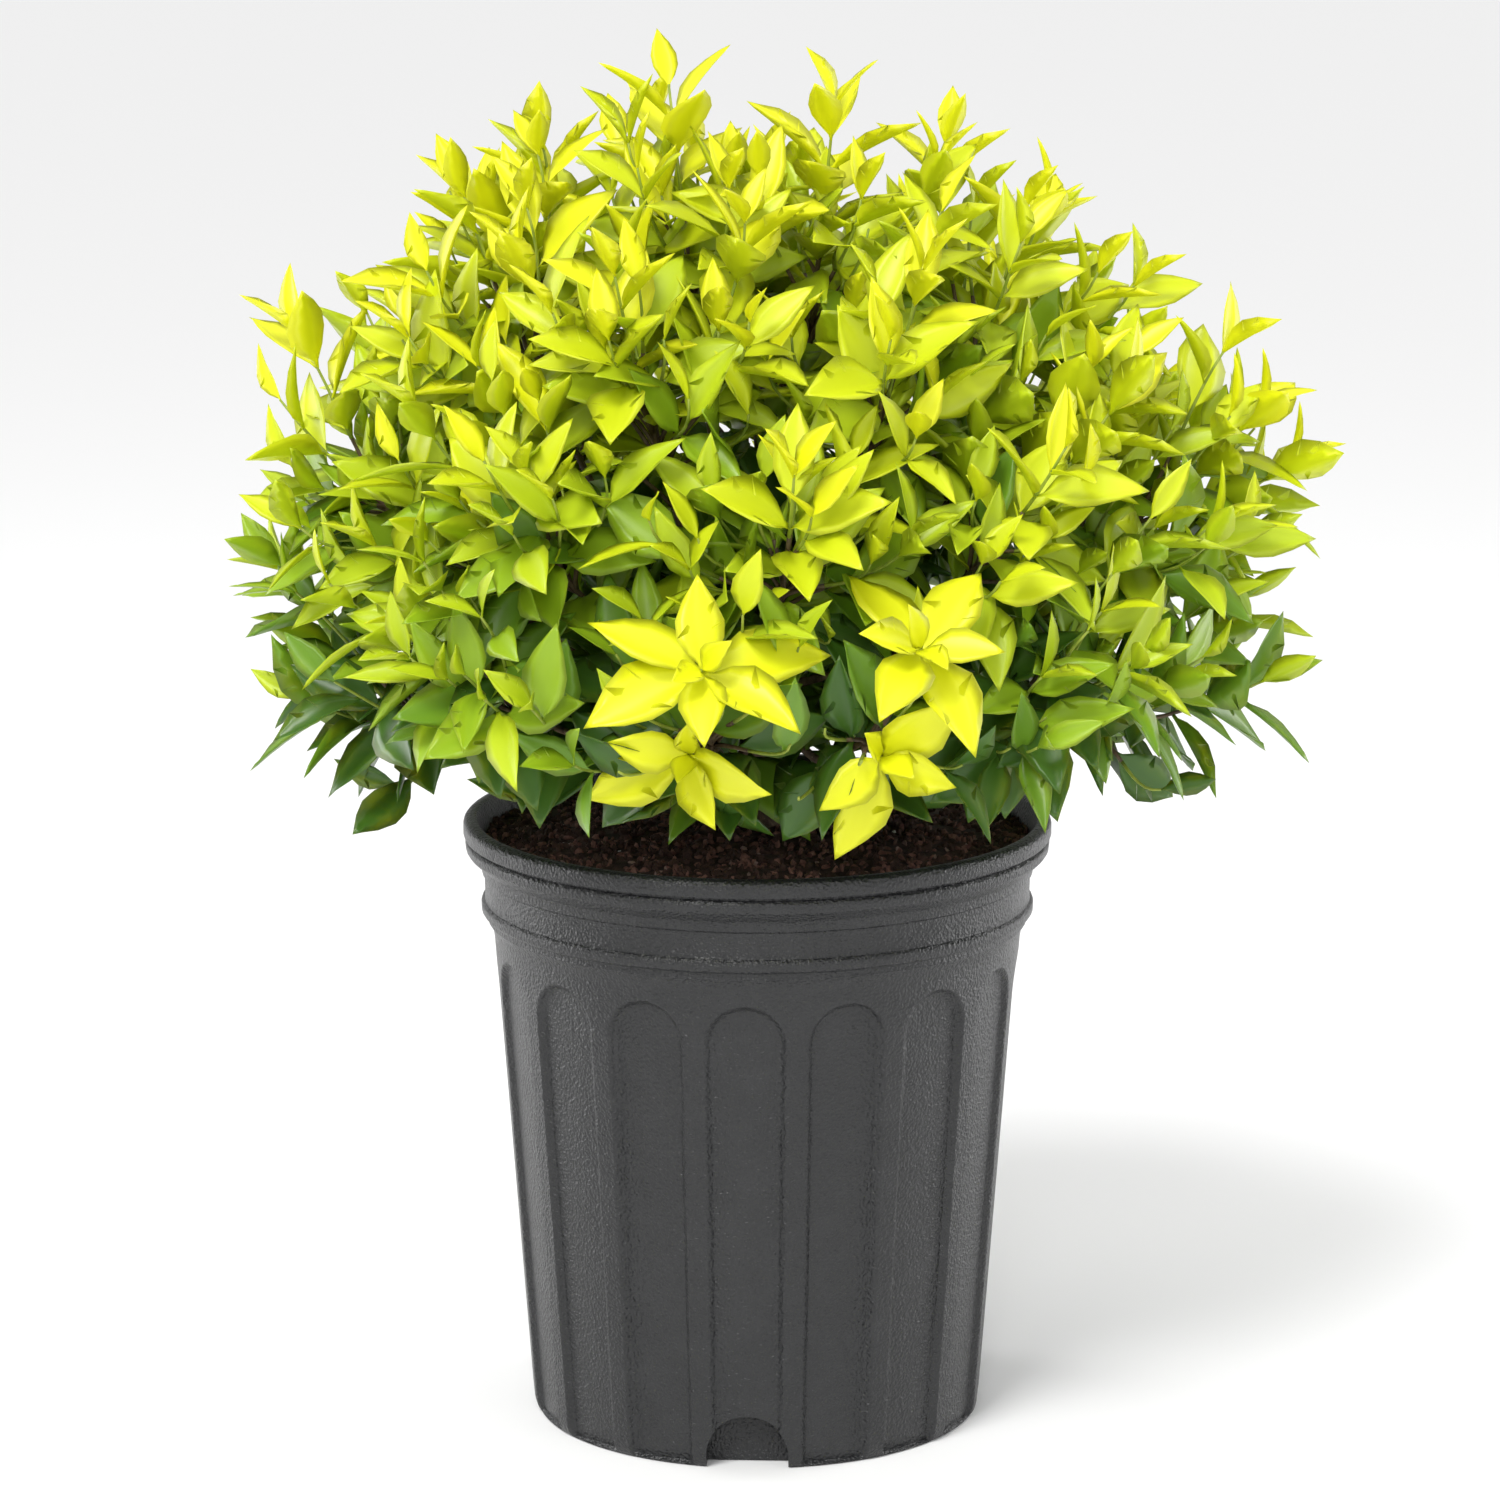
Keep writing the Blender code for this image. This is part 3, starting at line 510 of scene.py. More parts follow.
def earth_finish(name, low, high, scale):
    """Bark and fibre of the potting mix, in two tones."""
    finish = Finish(name, low, 0.92)
    crumbs = finish.noise(scale, detail=4.0).band(0.35, 0.68)
    finish.connect("Base Color", finish.mix(crumbs, low, high))
    finish.bump(finish.noise(scale * 3.2, detail=5.0), strength=0.8, distance=0.0006)
    return finish.material


def bark_finish():
    """Grey-brown bark with long cracks and pale pores."""
    low, high = (0.070, 0.042, 0.024), (0.20, 0.135, 0.085)
    finish = Finish("bark", low, 0.82)
    long_grain = finish.noise(scale=420.0, detail=5.0, stretch=(1.0, 1.0, 0.22))
    pores = 1.0 - finish.cells(scale=520.0).band(0.10, 0.24)
    tone = finish.mix(long_grain.band(0.36, 0.66), low, high)
    finish.connect("Base Color", finish.mix(pores * 0.5, tone, (0.34, 0.27, 0.19)))
    finish.bump(long_grain + pores * 0.3, strength=0.8, distance=0.0006)
    return finish.material


def twig_finish(name, low, high):
    """The thin bark of a twig or the skin of a young shoot, with a long grain."""
    finish = Finish(name, low, 0.55)
    grain = finish.noise(scale=300.0, detail=3.0, stretch=(1.0, 1.0, 0.35))
    finish.connect("Base Color", finish.mix(grain.band(0.35, 0.65), low, high))
    finish.bump(grain, strength=0.4, distance=0.0002)
    return finish.material


def leaf_finish(name, colour, roughness):
    """A waxy leaf in one plain colour of its own."""
    finish = Finish("leaf " + name, colour, roughness)
    finish.set("Specular IOR Level", 0.42)
    finish.set("Subsurface Weight", 0.12)
    finish.set("Subsurface Radius", (0.004, 0.004, 0.0005))
    finish.set("Subsurface Scale", 0.5)
    return finish.material


# Meshes


def add_object(name, data, material=None):
    """A mesh, a light or a camera as an object of the scene."""
    piece = bpy.data.objects.new(name, data)
    bpy.context.scene.collection.objects.link(piece)
    if material is not None:
        data.materials.clear()
        data.materials.append(material)
    return piece


def remove_object(piece):
    bpy.data.objects.remove(piece, do_unlink=True)


def applied_mesh(piece):
    """An object's mesh with its modifiers applied."""
    bpy.context.view_layer.update()
    seen = piece.evaluated_get(bpy.context.evaluated_depsgraph_get())
    return bpy.data.meshes.new_from_object(seen)


def finish_piece(piece, slot, *nodes):
    """Attaches a piece to its body and hides the solids that it stands for. The slot is not used."""
    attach(piece, BODY)
    if nodes:
        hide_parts(*nodes)


def mesh_of(name, corners, faces):
    """A mesh with smooth shading."""
    mesh = bpy.data.meshes.new(name)
    mesh.from_pydata(corners, [], faces)
    mesh.validate()
    mesh.shade_smooth()
    return mesh


def ring_faces(first, rings, sides):
    """Four-sided faces between rings of corners that follow each other in a mesh."""
    faces = []
    for low in range(first, first + (rings - 1) * sides, sides):
        for step in range(sides):
            after = (step + 1) % sides
            faces.append((low + step, low + after, low + after + sides, low + step + sides))
    return faces


def outward(mesh):
    """Turns a closed mesh's faces outwards."""
    shape = bmesh.new()
    shape.from_mesh(mesh)
    bmesh.ops.recalc_face_normals(shape, faces=shape.faces)
    shape.to_mesh(mesh)
    shape.free()
    return mesh


class Tubes:
    """Tapering tubes with closed ends, gathered into one mesh."""

    def __init__(self, sides):
        self.sides = sides
        self.corners = []
        self.faces = []

    def add(self, points, radii, relief=None):
        first = len(self.corners)
        side = None
        for number, (point, radius) in enumerate(zip(points, radii)):
            ahead = points[min(number + 1, len(points) - 1)] - points[max(number - 1, 0)]
            ahead = ahead.normalized()
            if side is None:
                side = ahead.orthogonal().normalized()
            side = (side - ahead * side.dot(ahead)).normalized()
            other = ahead.cross(side)
            for step in range(self.sides):
                angle = math.tau * step / self.sides
                grown = radius * (relief(angle, number / (len(points) - 1)) if relief else 1.0)
                self.corners.append(point + (side * math.cos(angle) + other * math.sin(angle)) * grown)
        last = len(self.corners) - self.sides
        self.faces += ring_faces(first, len(points), self.sides)
        self.faces.append(tuple(first + step for step in reversed(range(self.sides))))
        self.faces.append(tuple(last + step for step in range(self.sides)))

    def mesh(self, name):
        return mesh_of(name, self.corners, self.faces)


# Curves that limbs and shoots follow


def direction(azimuth, elevation):
    """Unit vector for an azimuth and an elevation in degrees."""
    turn, rise = math.radians(azimuth), math.radians(elevation)
    level = math.cos(rise)
    return Vector((math.sin(turn) * level, -math.cos(turn) * level, math.sin(rise)))


class Path:
    """A smooth curve from one point to another with a given heading at each end."""

    def __init__(self, start, start_heading, end, end_heading):
        self.length = (end - start).length
        self.start = start
        self.end = end
        self.out = start + start_heading.normalized() * self.length * PULL
        self.into = end - end_heading.normalized() * self.length * PULL

    def point(self, share):
        rest = 1.0 - share
        return (
            self.start * rest**3
            + self.out * 3 * rest**2 * share
            + self.into * 3 * rest * share**2
            + self.end * share**3
        )

    def heading(self, share):
        step = 0.01
        low, high = max(share - step, 0.0), min(share + step, 1.0)
        return (self.point(high) - self.point(low)).normalized()

    def points(self, count):
        return [self.point(i / (count - 1)) for i in range(count)]


class Limb:
    """A limb's path and radii."""

    def __init__(self, name, path, radii):
        self.name = name
        self.path = path
        self.radii = radii

    def radius(self, share):
        first, last = self.radii
        return first + (last - first) * share


def trunk_middle(height):
    """The middle of the trunk at a height: upright at the foot, then leaning."""
    share = max(0.0, (height - TRUNK_BEND) / (TRUNK_TOP - TRUNK_BEND))
    return Vector((TRUNK_LEAN.x * share, TRUNK_LEAN.y * share, height))


def plan_limbs():
    """Leaders from the trunk and boughs from the leaders, one limb for each mass."""
    limbs = {}
    for name, azimuth, elevation, reach, leader in MASSES:
        aim = direction(azimuth, elevation)
        end = FORK + aim * reach * LIMB_SHARE
        if leader not in limbs:
            offset, height = LEADER_SEATS[leader]
            base = trunk_middle(height) + direction(azimuth, 0) * offset
            limbs[leader] = Limb(leader, Path(base, aim + UP * LEADER_LIFT, end, aim), LEADER_RADII)
            continue
        carrier = limbs[leader]
        share = BOUGH_SEATS[name]
        base = carrier.path.point(share)
        heading = carrier.path.heading(share) * BOUGH_FOLLOW + aim
        radii = (carrier.radius(share) * BOUGH_SHARE, BOUGH_TIP_RADIUS)
        limbs[name] = Limb("bough_" + name, Path(base, heading, end, aim), radii)
    return limbs


class Mass:
    """A mass of foliage: its aim, its reach and the limb that it grows on from."""

    def __init__(self, name, azimuth, elevation, reach, limb):
        self.name = name
        self.aim = direction(azimuth, elevation)
        self.reach = reach
        end = FORK + self.aim * (reach - LEAF_NEW * STEM_INSET)
        self.stem = Path(limb.path.end, self.aim, end, self.aim + UP * lift_of(self.aim))


def lift_of(aim):
    """How much a shoot turns upwards at its end, which is most on the sloping sides."""
    return SHOOT_LIFT * math.sin(2 * math.asin(min(1.0, max(0.0, aim.z))))


def reach_towards(aim, masses):
    """The crown's reach in any direction, blended from the masses near it."""
    weights = [math.exp(REACH_FOCUS * (aim.dot(mass.aim) - 1.0)) for mass in masses]
    total = sum(weight * mass.reach for weight, mass in zip(weights, masses))
    return total / sum(weights)


class Shoot:
    """One leafy shoot: the stem of a mass or a side shoot, which may end in a rosette."""

    def __init__(self, path, aim, newness, stem=False, rosette=False):
        self.path = path
        self.aim = aim
        self.newness = newness
        self.rosette = rosette
        self.bare = STEM_BARE if stem else SIDE_BARE
        self.wood = STEM_WOOD if stem else SIDE_WOOD
        self.radius = STEM_RADIUS if stem else SIDE_RADIUS


def side_shoot(mass, aim, reach, newness, rosette):
    """A shoot from a mass's stem to a tip: the further it turns away, the lower it starts."""
    apart = math.degrees(math.acos(min(1.0, mass.aim.dot(aim))))
    share = max(SIDE_LOWEST, SIDE_HIGHEST - apart * SIDE_LOWERED)
    tip = FORK + aim * (reach - LEAF_NEW * (ROSETTE_INSET if rosette else SIDE_INSET))
    base = mass.stem.point(share)
    heading = mass.stem.heading(share) + (tip - base).normalized()
    final = aim + (FRONT * ROSETTE_FACING if rosette else UP * lift_of(aim))
    return Shoot(Path(base, heading, tip, final), aim, newness, rosette=rosette)


def plan_masses(limbs):
    """The masses of foliage, each on its own bough or on the leader that ends in it."""
    return [
        Mass(name, azimuth, elevation, reach, limbs.get(name, limbs[leader]))
        for name, azimuth, elevation, reach, leader in MASSES
    ]


def scattered_tips(count, masses, rng):
    """Tips spread evenly over the crown, with fewer of them low down."""
    tips = []
    for number in range(count):
        rise = LOWEST_RISE + (1.0 - LOWEST_RISE) * (number + 0.5) / count
        turn = number * GOLDEN_ANGLE
        level = math.sqrt(1.0 - rise * rise)
        aim = Vector((math.sin(turn) * level, -math.cos(turn) * level, rise))
        aim = (aim + Vector(rng.uniform(-AIM_SCATTER, AIM_SCATTER, 3))).normalized()
        reach = reach_towards(aim, masses) * rng.uniform(*SIDE_REACHES)
        full = (aim.z - LOWEST_RISE) / (FULL_RISE - LOWEST_RISE)
        if rng.uniform() < LOWEST_KEPT + (1.0 - LOWEST_KEPT) * full:
            tips.append((aim, reach, False))
    return tips


def plan_shoots(masses, count, rng):
    """Every shoot of the crown: stems, named tips, rosettes and evenly scattered ones."""
    shoots = [Shoot(mass.stem, mass.aim, rng.uniform(*STEM_NEWNESS), stem=True) for mass in masses]
    tips = [(direction(azimuth, elevation), reach, False) for azimuth, elevation, reach in TIPS]
    tips += [(direction(azimuth, elevation), reach, True) for azimuth, elevation, reach in ROSETTES]
    tips += scattered_tips(count, masses, rng)
    for aim, reach, rosette in tips:
        nearest = max(masses, key=lambda mass: mass.aim.dot(aim))
        newness = 1.0 if rosette else rng.uniform(*SIDE_NEWNESS)
        shoots.append(side_shoot(nearest, aim, reach, newness, rosette))
    return shoots


def twig_tubes(shoots):
    """The shoots in two groups of tubes: brown wood at the foot, green towards the tip."""
    wood, green = Tubes(WOOD_SIDES), Tubes(GREEN_SIDES)
    for shoot in shoots:
        points = shoot.path.points(TWIG_POINTS)
        radii = np.linspace(shoot.radius, TWIG_TIP_RADIUS, TWIG_POINTS)
        wood.add(points[: shoot.wood + 1], radii[: shoot.wood + 1])
        green.add(points[shoot.wood :], radii[shoot.wood :])
    return wood, green


# Leaves


def leaf_half_width(share):
    """Half of a leaf's width at a share of its length, with a stalk at its root."""
    body = max(0.0, (share - LEAF_STALK) / (1.0 - LEAF_STALK))
    half = 0.5 * math.sin(math.pi * body**LEAF_FULLEST) ** LEAF_TAPER if body > 0 else 0.0
    return max(half, LEAF_STALK_HALF)


def leaf_mesh(name, fold, curl, twist):
    """A closed thin leaf, root at the origin, blade along +Y, upper side to +Z, one long."""
    corners = []
    for share in LEAF_STATIONS:
        half = leaf_half_width(share)
        turn = twist * share
        drop = -curl * share * share
        for side in LEAF_ACROSS:
            x = side * half
            wave = LEAF_WAVE * math.sin(WAVE_ALONG * share + side * WAVE_ACROSS) * abs(side)
            z = fold * abs(x) + drop + wave
            corners.append((x * math.cos(turn), share, z + x * math.sin(turn)))
        corners.append((0.0, share, drop - LEAF_KEEL))
    tip = len(corners)
    corners.append((0.0, 1.0, -curl))
    edge = len(LEAF_ACROSS) - 1
    keel = edge + 1
    width = keel + 1
    last = tip - width
    faces = []
    for low in range(0, last, width):
        high = low + width
        for step in range(edge):
            faces.append((low + step, low + step + 1, high + step + 1, high + step))
        faces.append((low, high, high + keel, low + keel))
        faces.append((low + keel, high + keel, high + edge, low + edge))
    for step in range(edge):
        faces.append((last + step, last + step + 1, tip))
    faces.append((last, tip, last + keel))
    faces.append((last + keel, tip, last + edge))
    faces.append(tuple(reversed(range(width))))
    return outward(mesh_of(name, corners, faces))


def leaf_turn(along, upper):
    """The turn that lays a leaf along a heading with its upper side up, as angles."""
    across = along.cross(upper).normalized()
    facing = across.cross(along).normalized()
    return Matrix((across, along, facing)).transposed().to_euler()


class Leaf:
    """Where one leaf sits, how it is turned and sized, and how new it is, with the painted light and
    shade that deal its tone.
    """

    def __init__(self, root, blade, upper, length, width, newness, in_rosette=False):
        self.root = root
        self.turn = leaf_turn(blade, upper)
        self.blade = blade
        self.length = length
        self.width = width
        self.newness = newness
        self.in_rosette = in_rosette
        self.tip = root + blade * length


def over_pot(point):
    """Whether a point is too near the pot or the potting mix for a leaf."""
    level = math.hypot(point.x, point.y)
    return level < RIM_RADIUS + RIM_GAP and point.z < POT_BOX[1][2] + RIM_RISE


def hangs_in_front(leaf):
    """Whether a leaf would hang low before the rim, which stands free at the front."""
    away = leaf.tip - FORK
    low = away.z < HANG_SLOPE * math.hypot(away.x, away.y) - HANG_DROP
    return low and abs(away.x) < HANG_HALF_WIDTH


def leaf_age_and_light(shoot, root, low, outward_share, masses, rng):
    """How new a leaf is, with painted light: newest on a new shoot and near the shoot's tip, painted
    paler far out and high up, and darker with painted shade deep inside.
    """
    away = root - FORK
    depth = away.length / reach_towards(away.normalized(), masses)
    # depth and rise paint light and shade into the tone: paler far out and high up, darker inside and
    # low down
    new = shoot.newness * NEW_BY_SHOOT + depth * NEW_AND_LIT_BY_DEPTH + shoot.aim.z * NEW_AND_LIT_BY_RISE - NEW_LESS
    new += NEW_BY_PLACE * outward_share + rng.uniform(-NEW_SCATTER, NEW_SCATTER)
    # low shoots, most at their foot, take darker tones: partly age, partly painted shade
    return new - (LOW_AGE_AND_SHADE * low + LOW_FOOT_AGE_AND_SHADE * low * (1.0 - outward_share))


def grow_leaves(shoot, spacing, masses, rng):
    """Opposite pairs along a shoot, each pair turned from the last."""
    path = shoot.path
    count = max(FEWEST_PAIRS, round(path.length * (1.0 - shoot.bare) / spacing) + 1)
    turn = rng.uniform(0.0, math.pi)
    low = max(0.0, 1.0 - shoot.aim.z / LOW_RISE)
    leaves = []
    for number in range(count):
        outward_share = number / (count - 1)
        share = shoot.bare + (LAST_PAIR - shoot.bare) * outward_share
        left = count - 1 - number
        root = path.point(share)
        along = path.heading(share)
        guide = UP if abs(along.z) < STEEP else Vector((1.0, 0.0, 0.0))
        side = Matrix.Rotation(turn, 3, along) @ along.cross(guide).normalized()
        in_rosette = shoot.rosette and left < len(ROSETTE_SPREADS)
        if in_rosette:
            root = path.point(LAST_PAIR - ROSETTE_STEP * left)
            spread = ROSETTE_SPREADS[left]
            size = ROSETTE_SIZES[left]
        else:
            pair = min(left, len(PAIR_SIZES) - 1)
            spread = PAIR_SPREADS[pair] + LOW_SPREAD * low * min(left, YOUNG_PAIRS) / YOUNG_PAIRS
            size = PAIR_SIZES[pair]
        spread = math.radians(spread + rng.uniform(-SPREAD_SCATTER, SPREAD_SCATTER))
        length = LEAF_NEW * size * rng.uniform(*LENGTH_SCATTER)
        slim = LEAF_WIDTHS[0] if left < YOUNG_PAIRS and not shoot.rosette else LEAF_WIDTHS[1]
        widening = 1.0 if left < FULL_PAIRS else FULL_WIDENING
        width = length * slim * rng.uniform(*WIDTH_SCATTER) * widening
        droop = 0.0 if left == 0 else DROOP + LOW_DROOP * low
        for sign in (1, -1):
            out = side * sign
            blade = (along * math.cos(spread) + out * math.sin(spread)).normalized()
            blade = (blade - UP * droop).normalized()
            upper = along * math.sin(spread) - out * math.cos(spread)
            upper = upper + (UP + (root - FORK).normalized() * FACING_OUT) * FACING_UP
            upper = upper + Vector(rng.uniform(-FACING_SCATTER, FACING_SCATTER, 3))
            new = leaf_age_and_light(shoot, root, low, outward_share, masses, rng)
            if in_rosette:
                new = ROSETTE_NEWNESS
            leaves.append(Leaf(root, blade, upper, length, width, new, in_rosette))
        further = ROSETTE_TURN if shoot.rosette else rng.uniform(-TURN_SCATTER, TURN_SCATTER)
        turn += math.pi / 2 + further
    return leaves


def inner_leaves(limbs, rng):
    """Older and larger leaves that stand along the outer part of the limbs, dealt the darkest tones,
    partly painted shade.
    """
    ahead, aside, rise = INNER_BLADE
    facing_ahead, facing_in = INNER_UPPER
    leaves = []
    for limb in limbs.values():
        for share in np.linspace(INNER_FROM, 1.0, INNER_PAIRS):
            along = limb.path.heading(share)
            turn = Matrix.Rotation(rng.uniform(0, math.tau), 3, along)
            side = turn @ along.orthogonal().normalized()
            for sign in (1, -1):
                out = side * sign
                blade = (along * ahead + out * aside + UP * rise).normalized()
                upper = (UP + along * facing_ahead - out * facing_in).normalized()
                root = limb.path.point(share) + out * limb.radius(share) * INNER_SEAT
                length = LEAF_NEW * rng.uniform(*INNER_LENGTHS)
                new = rng.uniform(*INNER_AGE_AND_SHADE)
                leaves.append(Leaf(root, blade, upper, length, length * INNER_WIDTH, new))
    return leaves


def before_a_rosette(leaf, rosettes):
    """Whether a leaf would hide a rosette from the front."""
    if leaf.in_rosette:
        return False
    for place in (leaf.root, leaf.tip):
        for centre in rosettes:
            away = place - centre
            ahead = away.dot(FRONT)
            if ahead > 0.0 and (away - FRONT * ahead).length < ROSETTE_RADIUS:
                return True
    return False


def spaced_out(leaves):
    """Takes the leaves with the palest tones first, the newest and those painted as most lit, and
    drops each leaf that would run through another.
    """
    cells = {}
    kept = []
    for leaf in sorted(leaves, key=lambda leaf: -leaf.newness):
        spots = [leaf.root + leaf.blade * leaf.length * share for share in LEAF_SPOTS]
        places = [tuple(int(math.floor(part / LEAF_APART)) for part in spot) for spot in spots]
        near = [
            other
            for x, y, z in places
            for right, back, up in NEIGHBOURS
            for other in cells.get((x + right, y + back, z + up), ())
        ]
        if any((spot - other).length < LEAF_APART for spot in spots for other in near):
            continue
        kept.append(leaf)
        for place, spot in zip(places, spots):
            cells.setdefault(place, []).append(spot)
    return kept


def crown_leaves(limbs, masses, shoots, spacing, rng):
    """All leaves, less those that meet the pot, hide a rosette or run through another."""
    leaves = inner_leaves(limbs, rng)
    for shoot in shoots:
        leaves += grow_leaves(shoot, spacing, masses, rng)
    leaves = [leaf for leaf in leaves if not over_pot(leaf.tip) and not over_pot(leaf.root)]
    leaves = [leaf for leaf in leaves if leaf.in_rosette or not hangs_in_front(leaf)]
    rosettes = [shoot.path.end for shoot in shoots if shoot.rosette]
    return spaced_out([leaf for leaf in leaves if not before_a_rosette(leaf, rosettes)])


def sort_leaves(leaves):
    """Deals the leaves to their colours, the newest and most lit first, so that the tones carry
    painted light and shade.
    """
    groups = [[] for finish in LEAF_FINISHES]
    for leaf in leaves:
        groups[sum(leaf.newness < step for step in TONE_STEPS)].append(leaf)
    return groups


def socket_key(tree, name):
    """The identifier of a tree's named input."""
    for item in tree.interface.items_tree:
        if item.item_type == "SOCKET" and item.in_out == "INPUT" and item.name == name:
            return item.identifier
    raise KeyError(name)


def new_tree(name, inputs):
    """A tree with named inputs, and its input and output nodes."""
    tree = bpy.data.node_groups.new(name, "GeometryNodeTree")
    tree.interface.new_socket("Geometry", in_out="INPUT", socket_type="NodeSocketGeometry")
    for label, kind in inputs:
        tree.interface.new_socket(label, in_out="INPUT", socket_type=kind)
    tree.interface.new_socket("Geometry", in_out="OUTPUT", socket_type="NodeSocketGeometry")
    return tree, tree.nodes.new("NodeGroupInput"), tree.nodes.new("NodeGroupOutput")


def close_tree(tree, start, end, instances):
    """Ends a tree in plain geometry with its finish."""
    real = add_node(tree, "GeometryNodeRealizeInstances", None, {"Geometry": instances})
    sockets = {"Geometry": real.outputs[0], "Material": start.outputs["Finish"]}
    dress = add_node(tree, "GeometryNodeSetMaterial", None, sockets)
    feed(tree, end.inputs["Geometry"], dress.outputs[0])


def point_value(tree, name):
    """A vector that every point carries under a name."""
    settings = {"data_type": "FLOAT_VECTOR"}
    return add_node(tree, "GeometryNodeInputNamedAttribute", settings, {"Name": name}).outputs[0]


def spray_tree():
    """Puts one leaf on each point, turned and sized by the point's own values."""
    inputs = (
        ("Leaf", "NodeSocketObject"),
        ("Finish", "NodeSocketMaterial"),
        ("Size", "NodeSocketFloat"),
    )
    tree, start, end = new_tree("leaves on points", inputs)
    leaf = add_node(tree, "GeometryNodeObjectInfo", None, {"Object": start.outputs["Leaf"]})
    turn = add_node(tree, "FunctionNodeEulerToRotation", None, {0: point_value(tree, "turn")})
    sockets = {0: point_value(tree, "size"), "Scale": start.outputs["Size"]}
    size = add_node(tree, "ShaderNodeVectorMath", {"operation": "SCALE"}, sockets)
    sockets = {
        "Points": start.outputs["Geometry"],
        "Instance": leaf.outputs["Geometry"],
        "Rotation": turn.outputs[0],
        "Scale": size.outputs[0],
    }
    place = add_node(tree, "GeometryNodeInstanceOnPoints", None, sockets)
    close_tree(tree, start, end, place.outputs["Instances"])
    return tree


def grain_tree():
    """Strews one grain over a surface, each turned and sized by chance with a fixed seed."""
    inputs = (
        ("Grain", "NodeSocketObject"),
        ("Finish", "NodeSocketMaterial"),
        ("Density", "NodeSocketFloat"),
        ("Smallest", "NodeSocketVector"),
        ("Largest", "NodeSocketVector"),
        ("Seed", "NodeSocketInt"),
    )
    tree, start, end = new_tree("grains on soil", inputs)
    seed = start.outputs["Seed"]
    sockets = {"Mesh": start.outputs["Geometry"], "Density": start.outputs["Density"], "Seed": seed}
    strew = add_node(tree, "GeometryNodeDistributePointsOnFaces", None, sockets)
    grain = add_node(tree, "GeometryNodeObjectInfo", None, {"Object": start.outputs["Grain"]})
    vector = {"data_type": "FLOAT_VECTOR"}
    sockets = {"Max": (math.tau, math.tau, math.tau), "Seed": seed}
    turn = add_node(tree, "FunctionNodeRandomValue", vector, sockets)
    sockets = {"Min": start.outputs["Smallest"], "Max": start.outputs["Largest"], "Seed": seed}
    size = add_node(tree, "FunctionNodeRandomValue", vector, sockets)
    sockets = {
        "Points": strew.outputs["Points"],
        "Instance": grain.outputs["Geometry"],
        "Rotation": turn.outputs["Value"],
        "Scale": size.outputs["Value"],
    }
    place = add_node(tree, "GeometryNodeInstanceOnPoints", None, sockets)
    close_tree(tree, start, end, place.outputs["Instances"])
    return tree


def run_tree(carrier, tree, values, name, material):
    """Runs a tree on an object and keeps the result as a plain mesh object."""
    grow = carrier.modifiers.new("grow", "NODES")
    grow.node_group = tree
    for label, value in values.items():
        grow[socket_key(tree, label)] = value
    mesh = applied_mesh(carrier)
    mesh.name = name
    carrier.modifiers.remove(grow)
    return add_object(name, mesh, material)


def leaf_points(name, leaves):
    """A mesh of one point for each leaf, with its turn and its size."""
    mesh = bpy.data.meshes.new(name)
    mesh.from_pydata([leaf.root for leaf in leaves], [], [])
    turn = mesh.attributes.new("turn", "FLOAT_VECTOR", "POINT")
    turn.data.foreach_set("vector", [angle for leaf in leaves for angle in leaf.turn])
    size = mesh.attributes.new("size", "FLOAT_VECTOR", "POINT")
    sizes = [part for leaf in leaves for part in (leaf.width, leaf.length, leaf.length)]
    size.data.foreach_set("vector", sizes)
    return add_object(name, mesh)


# Pot


def body_radius(height):
    """Outer radius of the pot's tapering body at a height."""
    share = (height - BODY_FOOT_HEIGHT) / (BODY_TOP_HEIGHT - BODY_FOOT_HEIGHT)
    return BODY_FOOT_RADIUS + share * (BODY_TOP_RADIUS - BODY_FOOT_RADIUS)


def arch_spring(settings):
    """Height at which a flute's straight sides end and its round top starts."""
    return settings.flute_top - settings.flute_half_width


def straight_half_width(height, settings):
    """Half of a flute's width at a height below the spring of its arch."""
    share = height / arch_spring(settings)
    return FLUTE_HALF_WIDTH_FOOT + (settings.flute_half_width - FLUTE_HALF_WIDTH_FOOT) * share


def flute_mask(across, height, settings):
    """How deep a flute is at a place: 0 outside its arch, 1 on its floor."""
    spring = arch_spring(settings)
    if height > spring:
        inside = settings.flute_half_width - math.hypot(across, height - spring)
    else:
        inside = straight_half_width(height, settings) - abs(across)
    slope = min(1.0, max(0.0, inside / FLUTE_BORDER))
    return slope * slope * (3.0 - 2.0 * slope)


def body_heights(settings):
    """Heights of the rows down the body: dense round the arches' tops."""
    half = settings.flute_half_width
    spring = arch_spring(settings)
    quarter = np.linspace(math.pi / 2, 0.0, ROWS_IN_ARCH)
    rows = list(np.linspace(BODY_TOP_HEIGHT, settings.flute_top + ARCH_MARGIN, ROWS_OVER_ARCH))
    rows += [spring + half * math.sin(angle) for angle in quarter]
    return rows + list(np.linspace(spring, BODY_FOOT_HEIGHT, ROWS_BELOW_ARCH))[1:]


def pot_profile(settings):
    """Radius and height of each row down the outside, and whether the flutes cross it."""
    top = POT_BOX[1][2]
    bevel_out, bevel_up = FOOT_BEVEL
    rows = [(RIM_RADIUS - inset, top - drop, False) for inset, drop in COLLAR]
    rows += [(body_radius(height), height, True) for height in body_heights(settings)]
    rows += [(BODY_FOOT_RADIUS - inset, height, True) for inset, height in FOOT_CORNER]
    rows.append((FOOT_RADIUS + bevel_out, bevel_up, False))
    rows.append((FOOT_RADIUS, 0.0, False))
    rows.append((FOOT_RADIUS * FOOT_DISC_SHARE, 0.0, False))
    return rows


